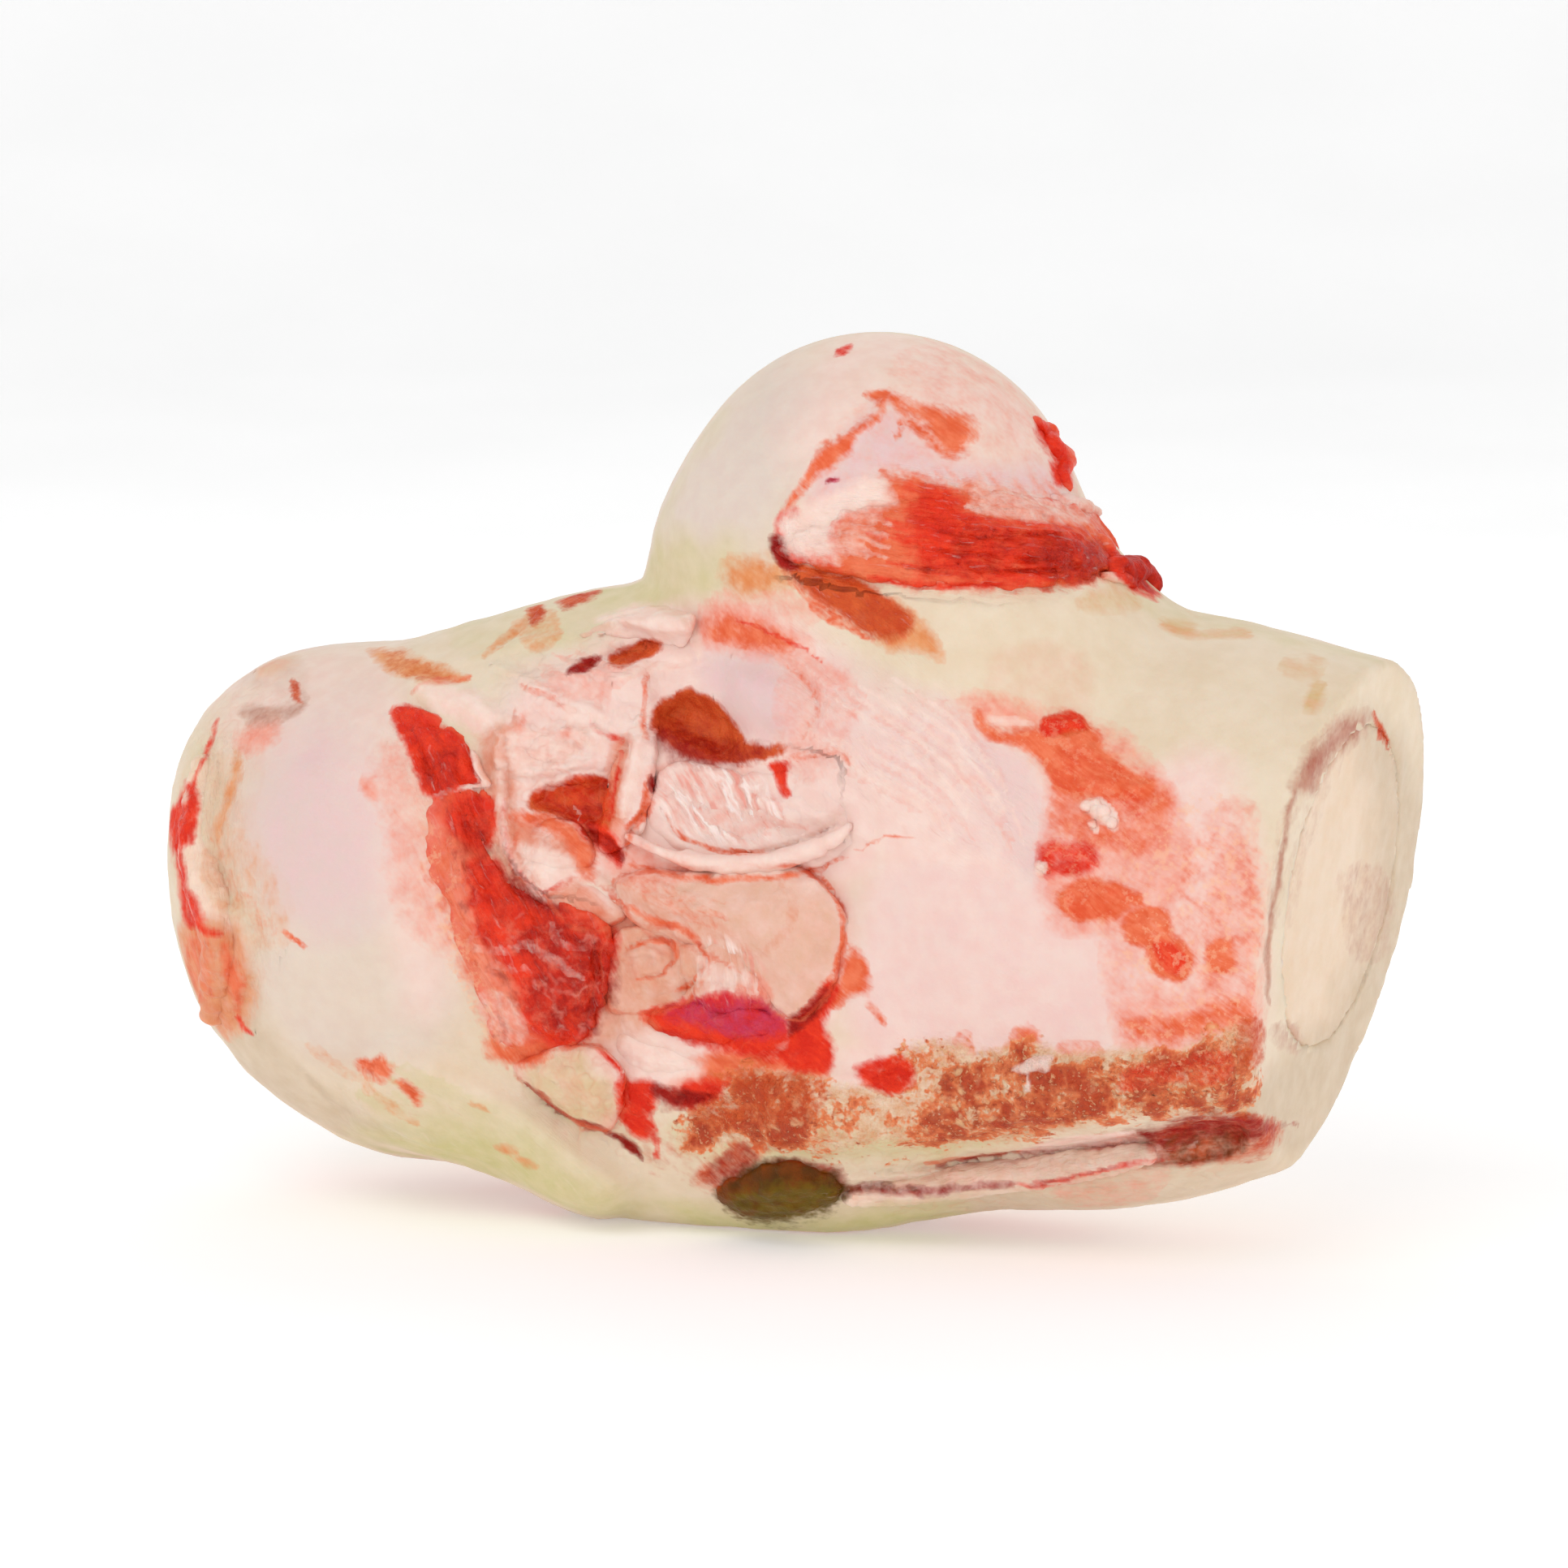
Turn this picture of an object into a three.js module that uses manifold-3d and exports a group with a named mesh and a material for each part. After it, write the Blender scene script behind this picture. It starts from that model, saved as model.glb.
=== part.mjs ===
// A raw beef knuckle bone: the sawn upper end of a thigh bone, with the ball of
// the hip joint on top, the smooth knob of the trochanter on the left, marrow in
// the saw cut, and the fat, gristle and meat left on it after boning.
// Millimetres, +Z up, +X along the shaft towards the saw cut, near side -Y.
// The bone is shaped as fields (negative inside) that are turned into meshes.

import * as THREE from "three";
import { mergeVertices } from "three/addons/utils/BufferGeometryUtils.js";
import Module from "manifold-3d";

const wasm = await Module();
wasm.setup();

// Driving dimensions
const HEAD_RADIUS = 27.3;
const HEAD_CENTRE = new THREE.Vector3(10.6, 4, 93.6);
const NECK = { from: [13.6, 4, 87.6], to: [22, 2, 66], radii: [24, 29] };
const COLLAR = { centre: new THREE.Vector3(1.6, 4, 88.6), radius: 21.8 };
const FLANK = { centre: [30, -1, 84.5], half: [18, 21, 13.5], turn: 40 };
const JOIN = { neck: 8, flank: 10, collar: 8, head: 4, end: 3, rim: 0.8 };
const ROUNDNESS = 2.08;
const KEEL = { from: 20, length: 60, power: -0.38 };
const SOLE = { x: -6, half: 35.2, fade: 22, power: 0.6 };
const SAW_X = 75.2;
const SAW_HEIGHT = 48;
const SAW_LEAN = 0.135;
const SAW_TURN = 0.045;
const FLOOR = 1.8;
const SHAFT_END = 94;
const MARROW = { y: 3.5, z: 50, radius: 21, depth: 84, waist: 0.86, gap: 0.3, recess: 0.5 };
const PIECE_GAP = 0.35;
const RELIEF_FADE = [-8, 4];
const BONE_CELL = 4.5;
const PIECE_CELL = 2.5;
const CENTRE = [-3.831, -0.229];

// Cross-sections of the body along X. The lean moves the top away from the near side.
const SECTIONS = [
  { x: -87.6, top: 61, bottom: 49, near: -7, far: 6, lean: 0 },
  { x: -86.2, top: 66, bottom: 37, near: -15, far: 13, lean: 0 },
  { x: -82.8, top: 70.5, bottom: 24.5, near: -22, far: 20, lean: 0 },
  { x: -76.6, top: 74.5, bottom: 16.2, near: -27.5, far: 26, lean: 0 },
  { x: -69, top: 76.5, bottom: 11, near: -31, far: 30, lean: 0 },
  { x: -58, top: 77.6, bottom: 6.4, near: -32.5, far: 32, lean: 0 },
  { x: -46, top: 81, bottom: 5.8, near: -32, far: 32.5, lean: 0 },
  { x: -34, top: 84.5, bottom: 5.2, near: -31, far: 32, lean: 0 },
  { x: -22, top: 87, bottom: 0.6, near: -29.5, far: 31, lean: 1 },
  { x: -6, top: 87, bottom: 0, near: -28, far: 29.5, lean: 2 },
  { x: 12, top: 87.5, bottom: 1.2, near: -28, far: 29, lean: 3 },
  { x: 30, top: 87, bottom: 4.8, near: -28, far: 31, lean: 3 },
  { x: 48, top: 85.4, bottom: 6.4, near: -27.5, far: 33, lean: 4 },
  { x: 60, top: 83.5, bottom: 9, near: -27, far: 34, lean: 4 },
  { x: 72, top: 81, bottom: 14, near: -26.5, far: 34, lean: 3.5 },
  { x: 84, top: 78, bottom: 20.5, near: -26, far: 33.5, lean: 3.5 },
  { x: 100, top: 75, bottom: 28, near: -26, far: 33, lean: 3.5 },
];

// The near side is laid out on a sheet turned towards the saw cut. A place on it is
// [right, up] in mm, carried to the bone along the line from a fixed eye point.
const SHEET_TURN = THREE.MathUtils.degToRad(22);
const SHEET_TILT = THREE.MathUtils.degToRad(7);
const EYE_DISTANCE = 796.95;
const EYE_SHEET = [-1.32, 59.84];

const sheetRight = new THREE.Vector3(Math.cos(SHEET_TURN), Math.sin(SHEET_TURN), 0);
const sheetOut = new THREE.Vector3(
  Math.sin(SHEET_TURN) * Math.cos(SHEET_TILT),
  -Math.cos(SHEET_TURN) * Math.cos(SHEET_TILT),
  Math.sin(SHEET_TILT),
);
const sheetUp = new THREE.Vector3().crossVectors(sheetOut, sheetRight);
const eye = new THREE.Vector3()
  .addScaledVector(sheetRight, EYE_SHEET[0])
  .addScaledVector(sheetUp, EYE_SHEET[1])
  .addScaledVector(sheetOut, EYE_DISTANCE);

// Relief on the bone: each form raises or lowers the surface inside its outline,
// and reaches its full height that far in from the edge.
const RELIEF = [
  { what: "trochanter", height: 2.2, reach: 14, outline: [[-76, 68], [-60, 75], [-47, 66],
    [-45, 45], [-40, 24], [-52, 13], [-68, 19], [-79, 45]] },
  { what: "tongue of the trochanter", height: 3, reach: 5, outline: [[-56, 26], [-40, 21],
    [-28, 12.5], [-20, 6], [-26, -1], [-46, 5], [-62, 13]] },
  { what: "hollow behind the neck", height: -8, reach: 9, outline: [[-43, 60], [-37, 73],
    [-20, 78], [-4, 68], [13, 57], [10, 40], [2, 25], [-16, 17], [-29, 23], [-34, 40]] },
  { what: "dip left of the neck", height: -1.2, reach: 8, outline: [[-27, 90], [-10, 96],
    [3, 91], [-4, 77], [-20, 78]] },
  { what: "crease under the neck meat", height: -2.5, reach: 2, outline: [[-3, 92],
    [14, 87.6], [34, 87.4], [43, 87], [34, 84.6], [14, 84.8], [0, 88]] },
  { what: "rough ridge of the shaft", height: 2.2, reach: 4, outline: [[-6, 20], [28, 23],
    [60, 26], [61, 15], [30, 11], [-3, 10]] },
  { what: "tendon groove", height: -2.4, reach: 1.8, outline: [[3, 6.5], [30, 11],
    [61, 14.5], [61, 9.5], [30, 7.5]] },
  { what: "brown opening", height: -6, reach: 3, outline: [[-19.5, 69], [-14, 73.2],
    [-5, 67], [-9, 62.8]] },
  { what: "slit", height: -3, reach: 1.5, outline: [[-31, 74.5], [-25, 78.4], [-18, 79.5],
    [-22, 76]] },
  { what: "pad right of the opening", height: 2.8, reach: 5, outline: [[-9, 77], [1, 76],
    [2, 68], [-4, 65], [-10, 70]] },
  { what: "swell of the shaft", height: 1.2, reach: 14, outline: [[8, 70], [30, 66],
    [40, 45], [34, 28], [14, 28], [7, 48]] },
  { what: "rim at the left end", height: -1.6, reach: 2, outline: [[-78, 66], [-74.5, 58],
    [-75, 46], [-70.5, 38], [-73, 26], [-77, 27], [-74.5, 38], [-79, 46], [-80, 58]] },
];

// Soft pieces on the bone. Each lies inside its outline, up to its height over the bone's
// plain form, higher by its crown in the middle, and down into the hollow by its sink.
const PIECES = [
  { name: "crescent_fold", finish: "fat", height: 0.4, crown: -1.8, sink: 12, edge: 2,
    outline: [[-20, 55], [-14, 49.6], [-4, 47.8], [6, 49.4], [10, 54], [6, 62.5], [-6, 61.5],
      [-17, 62.5]],
    rim: { path: [[-19, 54.6], [-13, 50.4], [-4, 48.8], [4, 50], [8, 53]], lift: 0.4, radius: 2.4 } },
  { name: "fat_lobe", finish: "fat", height: 1.2, crown: 2.6, sink: 12, edge: 2.6,
    outline: [[-24, 46.5], [-12, 47.6], [1, 47.8], [6.5, 42.5], [5.8, 33], [0, 27.5], [-7, 34.5],
      [-22, 41.6]] },
  { name: "gristle_nub", finish: "gristle", height: -0.5, crown: 2.6, sink: 12, edge: 2,
    outline: [[-38.5, 48.5], [-36, 54.6], [-29, 54.8], [-27, 49.5], [-33, 45.2]] },
  { name: "strip_upright", finish: "fat", height: 0.6, crown: 1, sink: 12, edge: 1.6,
    outline: [[-22.6, 69], [-18.4, 69], [-19.2, 60], [-22, 52], [-26.6, 51], [-25, 61]] },
  { name: "pad_upper", finish: "fat", height: -0.5, crown: 2.2, sink: 12, edge: 2,
    outline: [[-40.5, 67.5], [-32, 71], [-24, 69.8], [-26.6, 60], [-36, 58.8], [-41, 62]] },
  { name: "pad_small", finish: "gristle", height: -0.2, crown: 1.2, sink: 12, edge: 1.6,
    outline: [[-33, 45.4], [-28, 47], [-22.6, 42], [-27, 40], [-32, 42]] },
  { name: "ear_fold", finish: "fat", height: 0.4, crown: 1.6, sink: 12, edge: 1.8,
    outline: [[-24.6, 39.6], [-16, 40.4], [-11.6, 35], [-15, 30], [-24.4, 28.8], [-26, 34]] },
  { name: "muscle_slip", finish: "meat_dark", height: 1.2, crown: 2.2, sink: 12, edge: 1.6,
    outline: [[-20.5, 27.6], [-10, 31], [-0.5, 27], [-10, 24.8]] },
  { name: "pad_lower", finish: "fat", height: 0, crown: 1.6, sink: 12, edge: 2,
    outline: [[-24, 26], [-13, 24], [-9, 21.4], [-16, 18.8], [-23, 20.6]] },
  { name: "muscle_band", finish: "meat", height: 1.6, crown: 1.6, sink: 8, edge: 1.8, cell: 2.8,
    outline: [[-54, 70.5], [-45, 66.5], [-41, 58], [-40, 49], [-30, 43.4], [-24.4, 40], [-26, 30],
      [-30, 24], [-39, 22.5], [-45, 35], [-49.6, 48], [-51, 60]] },
  { name: "pad_wedge", finish: "fat", height: 2.6, crown: 2, sink: 8, edge: 2,
    outline: [[-38, 21.6], [-27, 24.4], [-23, 21], [-24.6, 13], [-31, 14.6]] },
  { name: "neck_flap", finish: "fat", height: 0.6, crown: 1.4, sink: 6, edge: 1.6,
    outline: [[-29, 80], [-21, 83.6], [-13.6, 82.6], [-15, 78.6], [-22, 79.6]] },
  { name: "neck_meat", finish: "meat", height: 1.6, crown: 1.6, sink: 4, edge: 1.8, back: 7, cell: 3,
    outline: [[-2.4, 91.6], [10, 87.6], [24, 86.6], [37, 87], [43.5, 89.6], [41.5, 97], [33, 101],
      [17, 98.6], [5, 96]] },
  { name: "gland", finish: "gland", height: 1.2, crown: 2, sink: 3, edge: 2,
    outline: [[-11.5, 4.6], [-4, 9.4], [5, 8], [7.4, 4.4], [0, 0.8], [-8, 1]] },
  { name: "neck_shred", finish: "meat_dark", path: [[41.5, 90], [45.6, 89.8], [49, 87.4]],
    lift: 0.4, radius: 2.7 },
  { name: "tendon_strip", finish: "tendon", path: [[8, 4], [28, 6.6], [48, 9.6]],
    lift: -0.4, radius: 2.4 },
  { name: "end_ligament", finish: "tendon", path: [[-80, 62], [-80.4, 50], [-77.6, 39], [-78.6, 29]],
    lift: -0.6, radius: 3.2 },
];

const FINISHES = {
  bone: { color: 0xe6dcc0, roughness: 0.45 },
  marrow: { color: 0xe6d5ba, roughness: 0.5 },
  fat: { color: 0xf3cfbb, roughness: 0.38 },
  gristle: { color: 0xf0d8cc, roughness: 0.3 },
  meat: { color: 0xc4372b, roughness: 0.34 },
  meat_dark: { color: 0xa02a38, roughness: 0.32 },
  gland: { color: 0x6e5a2e, roughness: 0.36 },
  tendon: { color: 0xe8cdb4, roughness: 0.36 },
};

// Smooth joins of two fields over the width k.
function smoothMin(a, b, k) {
  const h = THREE.MathUtils.clamp(0.5 + (0.5 * (b - a)) / k, 0, 1);
  return b + (a - b) * h - k * h * (1 - h);
}

function smoothMax(a, b, k) {
  return -smoothMin(-a, -b, k);
}

// A smooth curve through one column of the sections.
function columnCurve(name) {
  const xs = SECTIONS.map((row) => row.x);
  const ys = SECTIONS.map((row) => row[name]);
  const last = xs.length - 1;
  const slopes = ys.map((_, i) => {
    const low = Math.max(i - 1, 0);
    const high = Math.min(i + 1, last);
    return (ys[high] - ys[low]) / (xs[high] - xs[low]);
  });
  return (x) => {
    const at = THREE.MathUtils.clamp(x, xs[0], xs[last]);
    let i = 0;
    while (i < last - 1 && at >= xs[i + 1]) i += 1;
    const h = xs[i + 1] - xs[i];
    const t = (at - xs[i]) / h;
    const rest = 1 - t;
    return (1 + 2 * t) * rest * rest * ys[i] + t * rest * rest * h * slopes[i]
      + t * t * (3 - 2 * t) * ys[i + 1] - t * t * rest * h * slopes[i + 1];
  };
}

const topAt = columnCurve("top");
const bottomAt = columnCurve("bottom");
const nearAt = columnCurve("near");
const farAt = columnCurve("far");
const leanAt = columnCurve("lean");

// The body: a closed tube of rounded sections, narrower below towards the saw cut, and
// with a flatter sole under the middle.
function bodyField(p) {
  const halfZ = (topAt(p.x) - bottomAt(p.x)) / 2;
  const halfY = (farAt(p.x) - nearAt(p.x)) / 2;
  const up = THREE.MathUtils.clamp((p.z - (topAt(p.x) + bottomAt(p.x)) / 2) / halfZ, -1.1, 1.1);
  const centreY = (farAt(p.x) + nearAt(p.x)) / 2 + leanAt(p.x) * up;
  const keel = up < 0 ? THREE.MathUtils.clamp((p.x - KEEL.from) / KEEL.length, 0, 1) : 0;
  const sole = up < 0 ? THREE.MathUtils.clamp((SOLE.half - Math.abs(p.x - SOLE.x)) / SOLE.fade, 0, 1) : 0;
  const power = ROUNDNESS + KEEL.power * keel + SOLE.power * sole;
  const across = Math.abs(p.y - centreY) / halfY;
  const upright = Math.abs(p.z - (topAt(p.x) + bottomAt(p.x)) / 2) / halfZ;
  const ring = (across ** power + upright ** power) ** (1 / power);
  const side = (ring - 1) * Math.min(halfY, halfZ) * 0.9;
  return Math.max(smoothMax(side, SECTIONS[0].x - p.x, JOIN.end), p.x - SHAFT_END);
}

const neckFrom = new THREE.Vector3(...NECK.from);
const neckSpan = new THREE.Vector3(...NECK.to).sub(neckFrom);

function neckField(p) {
  const offset = p.clone().sub(neckFrom);
  const t = THREE.MathUtils.clamp(offset.dot(neckSpan) / neckSpan.lengthSq(), 0, 1);
  const radius = THREE.MathUtils.lerp(NECK.radii[0], NECK.radii[1], t);
  return offset.addScaledVector(neckSpan, -t).length() - radius;
}

const flankTurn = THREE.MathUtils.degToRad(FLANK.turn);

// The shoulder that runs from the neck down to the shaft: a turned ellipsoid.
function flankField(p) {
  const dx = p.x - FLANK.centre[0];
  const dy = p.y - FLANK.centre[1];
  const dz = p.z - FLANK.centre[2];
  const along = dx * Math.cos(flankTurn) - dz * Math.sin(flankTurn);
  const upright = dx * Math.sin(flankTurn) + dz * Math.cos(flankTurn);
  const q = [along, dy, upright];
  const ring = Math.hypot(...q.map((value, i) => value / FLANK.half[i]));
  const slope = Math.hypot(...q.map((value, i) => value / FLANK.half[i] ** 2));
  return (ring * (ring - 1)) / Math.max(slope, 1e-9);
}

// The bone's plain form, before its relief. The collar widens the base of the head.
function plainField(p) {
  let field = smoothMin(bodyField(p), neckField(p), JOIN.neck);
  field = smoothMin(field, flankField(p), JOIN.flank);
  field = smoothMin(field, p.distanceTo(COLLAR.centre) - COLLAR.radius, JOIN.collar);
  return smoothMin(field, p.distanceTo(HEAD_CENTRE) - HEAD_RADIUS, JOIN.head);
}

// Where a point lies on the sheet: right, up, and how far it stands out of it.
function onSheet(p) {
  const offset = p.clone().sub(eye);
  const depth = -offset.dot(sheetOut);
  const scale = EYE_DISTANCE / depth;
  return [
    offset.dot(sheetRight) * scale + EYE_SHEET[0],
    offset.dot(sheetUp) * scale + EYE_SHEET[1],
    EYE_DISTANCE - depth,
  ];
}

// Where the line of sight through a place on the sheet first meets the bone, or, where it
// passes by, where it comes closest.
function onBone([right, up], lift) {
  const aim = new THREE.Vector3().addScaledVector(sheetRight, right).addScaledVector(sheetUp, up).sub(eye);
  aim.normalize();
  const reach = 70;
  const step = 0.5;
  let closest = Infinity;
  let place = null;
  for (let t = EYE_DISTANCE - reach; t < EYE_DISTANCE + reach && closest > 0; t += step) {
    const p = eye.clone().addScaledVector(aim, t);
    const field = plainField(p);
    if (field < closest) {
      closest = field;
      place = p;
    }
  }
  return place.addScaledVector(sheetOut, lift);
}

// Signed distance on the sheet to a smooth closed outline, negative inside.
function outlineDistance(points) {
  const corners = points.map(([u, v]) => new THREE.Vector3(u, v, 0));
  const curve = new THREE.CatmullRomCurve3(corners, true, "centripetal");
  const ring = curve.getPoints(points.length * 5).slice(0, -1);
  return (u, v) => {
    let nearest = Infinity;
    let inside = false;
    ring.forEach((a, i) => {
      const b = ring[(i + 1) % ring.length];
      const ex = b.x - a.x;
      const ey = b.y - a.y;
      const t = THREE.MathUtils.clamp(((u - a.x) * ex + (v - a.y) * ey) / (ex * ex + ey * ey), 0, 1);
      nearest = Math.min(nearest, Math.hypot(u - a.x - t * ex, v - a.y - t * ey));
      if (a.y > v !== b.y > v && u < a.x + (ex * (v - a.y)) / ey) inside = !inside;
    });
    return inside ? -nearest : nearest;
  };
}

// A soft step from 0 at the outline to 1 that far inside it.
function rise(distance, reach) {
  const t = THREE.MathUtils.clamp(-distance / reach, 0, 1);
  return t * t * (3 - 2 * t);
}

const relief = RELIEF.map((form) => ({ ...form, distance: outlineDistance(form.outline) }));

// Relief works only on the near side, and fades out where the surface turns away.
function boneField(p) {
  const plain = plainField(p);
  if (Math.abs(plain) > 3 * BONE_CELL) return plain;
  const [u, v, out] = onSheet(p);
  const near = THREE.MathUtils.smoothstep(out, ...RELIEF_FADE);
  if (near === 0) return plain;
  const height = relief.reduce((sum, form) => sum + form.height * rise(form.distance(u, v), form.reach), 0);
  return plain - near * height;
}

// A tube along a path that lies on the bone, thinner at its two ends.
function tubeField({ path, lift, radius }) {
  const curve = new THREE.CatmullRomCurve3(path.map((place) => onBone(place, lift)));
  const count = Math.ceil(curve.getLength() / (0.4 * radius));
  const beads = curve.getPoints(count).map((centre, i) => ({
    centre,
    radius: radius * (0.6 + 0.4 * Math.sin((Math.PI * i) / count)),
  }));
  return (p) => Math.min(...beads.map((bead) => bead.centre.distanceTo(p) - bead.radius));
}

// A pad inside an outline, with a rounded edge and a crowned or hollow top.
function padField({ outline, height, crown, sink, edge, back }) {
  const distance = outlineDistance(outline);
  const crownReach = 7;
  const backing = 3;
  const depths = outline.map((place) => onSheet(onBone(place, 0))[2]);
  const limit = back ?? Math.min(...depths) - backing;
  return (p) => {
    const [u, v, out] = onSheet(p);
    const side = distance(u, v);
    const plain = plainField(p);
    const top = plain - height - crown * rise(side, crownReach);
    const field = smoothMax(smoothMax(top, side, edge), -plain - sink, edge);
    return smoothMax(field, limit - out, edge);
  };
}

function pieceField(piece) {
  if (!piece.outline) return tubeField(piece);
  const pad = padField(piece);
  if (!piece.rim) return pad;
  const rim = tubeField(piece.rim);
  return (p) => smoothMin(pad(p), rim(p), JOIN.rim);
}

// Where a face of a cell has two opposite corners inside, the mesh would pinch. The
// shallower one is moved outside until no such face is left.
function unpinch(values, steps) {
  let moved = true;
  while (moved) {
    moved = false;
    for (let here = 0; here < values.length - steps[0] - steps[1]; here += 1) {
      for (let axis = 0; axis < 3; axis += 1) {
        const a = steps[axis];
        const b = steps[(axis + 1) % 3];
        if (here + a + b >= values.length) continue;
        const face = [here, here + a, here + a + b, here + b];
        const signs = face.map((n) => values[n] < 0);
        if (signs[0] !== signs[2] || signs[1] !== signs[3] || signs[0] === signs[1]) continue;
        const inside = face.filter((n) => values[n] < 0);
        const shallow = values[inside[0]] > values[inside[1]] ? inside[0] : inside[1];
        values[shallow] = -0.2 * values[shallow];
        moved = true;
      }
    }
  }
}

// The mesh of a field's zero level: one vertex in each cell that it crosses. The outermost
// points of the grid count as outside, so that the mesh is closed.
function surfaceNet(field, low, high, cell) {
  const count = [0, 1, 2].map((i) => Math.ceil((high[i] - low[i]) / cell) + 1);
  const index = (i, j, k) => (i * count[1] + j) * count[2] + k;
  const values = new Float64Array(count[0] * count[1] * count[2]);
  const p = new THREE.Vector3();
  for (let i = 0; i < count[0]; i += 1) {
    for (let j = 0; j < count[1]; j += 1) {
      for (let k = 0; k < count[2]; k += 1) {
        p.set(low[0] + i * cell, low[1] + j * cell, low[2] + k * cell);
        const onRim = [i, j, k].some((n, axis) => n === 0 || n === count[axis] - 1);
        values[index(i, j, k)] = onRim ? cell : field(p);
      }
    }
  }
  const steps = [count[1] * count[2], count[2], 1];
  unpinch(values, steps);
  const vertices = [];
  const vertexOf = new Map();
  const corners = [0, 1, 2, 3, 4, 5, 6, 7].map((n) => [n & 1, (n >> 1) & 1, (n >> 2) & 1]);
  const edges = [];
  corners.forEach((a, n) => {
    [0, 1, 2].filter((axis) => a[axis] === 0).forEach((axis) => edges.push([n, n | (1 << axis)]));
  });
  for (let i = 0; i < count[0] - 1; i += 1) {
    for (let j = 0; j < count[1] - 1; j += 1) {
      for (let k = 0; k < count[2] - 1; k += 1) {
        const at = corners.map(([a, b, c]) => values[index(i + a, j + b, k + c)]);
        const inside = at.filter((value) => value < 0).length;
        if (inside === 0 || inside === 8) continue;
        const sum = [0, 0, 0];
        let crossings = 0;
        for (const [from, to] of edges) {
          if (at[from] < 0 === at[to] < 0) continue;
          const t = at[from] / (at[from] - at[to]);
          crossings += 1;
          for (let axis = 0; axis < 3; axis += 1) {
            sum[axis] += corners[from][axis] + t * (corners[to][axis] - corners[from][axis]);
          }
        }
        vertexOf.set(index(i, j, k), vertices.length / 3);
        [i, j, k].forEach((base, axis) => {
          vertices.push(low[axis] + cell * (base + sum[axis] / crossings));
        });
      }
    }
  }
  const triangles = [];
  for (let i = 1; i < count[0] - 1; i += 1) {
    for (let j = 1; j < count[1] - 1; j += 1) {
      for (let k = 1; k < count[2] - 1; k += 1) {
        const here = index(i, j, k);
        for (let axis = 0; axis < 3; axis += 1) {
          const inHere = values[here] < 0;
          if (inHere === values[here + steps[axis]] < 0) continue;
          const a = steps[(axis + 1) % 3];
          const b = steps[(axis + 2) % 3];
          const quad = [here - a - b, here - b, here, here - a].map((cellIndex) => vertexOf.get(cellIndex));
          if (!inHere) quad.reverse();
          triangles.push(quad[0], quad[1], quad[2], quad[0], quad[2], quad[3]);
        }
      }
    }
  }
  return { vertices, triangles };
}

function solidOf({ vertices, triangles }) {
  return new wasm.Manifold(new wasm.Mesh({
    numProp: 3,
    vertProperties: new Float32Array(vertices),
    triVerts: new Uint32Array(triangles),
  }));
}

// The same net with each vertex pushed out along the surface's normal.
function swollen({ vertices, triangles }, by) {
  const geometry = new THREE.BufferGeometry();
  geometry.setAttribute("position", new THREE.Float32BufferAttribute(vertices, 3));
  geometry.setIndex(triangles);
  geometry.computeVertexNormals();
  const normals = geometry.getAttribute("normal").array;
  return { vertices: vertices.map((value, i) => value + by * normals[i]), triangles };
}

function solidOfGeometry(geometry) {
  geometry.deleteAttribute("normal");
  geometry.deleteAttribute("uv");
  const merged = mergeVertices(geometry, 1e-4);
  return solidOf({ vertices: merged.getAttribute("position").array, triangles: merged.getIndex().array });
}

function geometryOf(solid) {
  const mesh = solid.getMesh();
  const geometry = new THREE.BufferGeometry();
  geometry.setAttribute("position", new THREE.Float32BufferAttribute(mesh.vertProperties, 3));
  geometry.setIndex([...mesh.triVerts]);
  return geometry;
}

// The largest of the parts that a cut leaves.
function largest(solid) {
  return solid.decompose().reduce((best, part) => (part.volume() > best.volume() ? part : best));
}

// Everything beyond the saw cut, as a block whose near face is the cut.
function sawBlock(inset) {
  const size = 200;
  const geometry = new THREE.BoxGeometry(size, size, size);
  geometry.translate(size / 2 - inset, 0, 0);
  geometry.rotateZ(-Math.atan(SAW_TURN));
  geometry.rotateY(Math.atan(SAW_LEAN));
  geometry.translate(SAW_X, 0, SAW_HEIGHT);
  return solidOfGeometry(geometry);
}

function floorBlock() {
  const size = 240;
  const geometry = new THREE.BoxGeometry(size, size, size);
  geometry.translate(0, 0, FLOOR - size / 2);
  return solidOfGeometry(geometry);
}

// The marrow space: a blunt cone that narrows from the saw cut into the bone.
function marrowForm(inset) {
  const sides = 24;
  const steps = 6;
  const profile = [new THREE.Vector2(0, -MARROW.depth + inset)];
  for (let i = 1; i <= steps; i += 1) {
    const angle = (i / steps) * (Math.PI / 2);
    const radius = MARROW.radius * MARROW.waist * Math.sin(angle) - inset;
    profile.push(new THREE.Vector2(radius, -MARROW.depth * (0.5 + 0.5 * Math.cos(angle)) + inset));
  }
  const beyond = 20;
  profile.push(new THREE.Vector2(MARROW.radius - inset, 0));
  profile.push(new THREE.Vector2(MARROW.radius - inset, beyond));
  profile.push(new THREE.Vector2(0, beyond));
  const geometry = new THREE.LatheGeometry(profile, sides);
  geometry.rotateZ(-Math.PI / 2);
  geometry.translate(SAW_X, MARROW.y, MARROW.z);
  return solidOfGeometry(geometry);
}

const part = new THREE.Group();
part.position.set(-CENTRE[0], -CENTRE[1], -FLOOR);

function addPiece(name, solid, finish) {
  const material = new THREE.MeshStandardMaterial({ ...FINISHES[finish], metalness: 0 });
  const mesh = new THREE.Mesh(geometryOf(solid), material);
  mesh.name = name;
  part.add(mesh);
}

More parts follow.
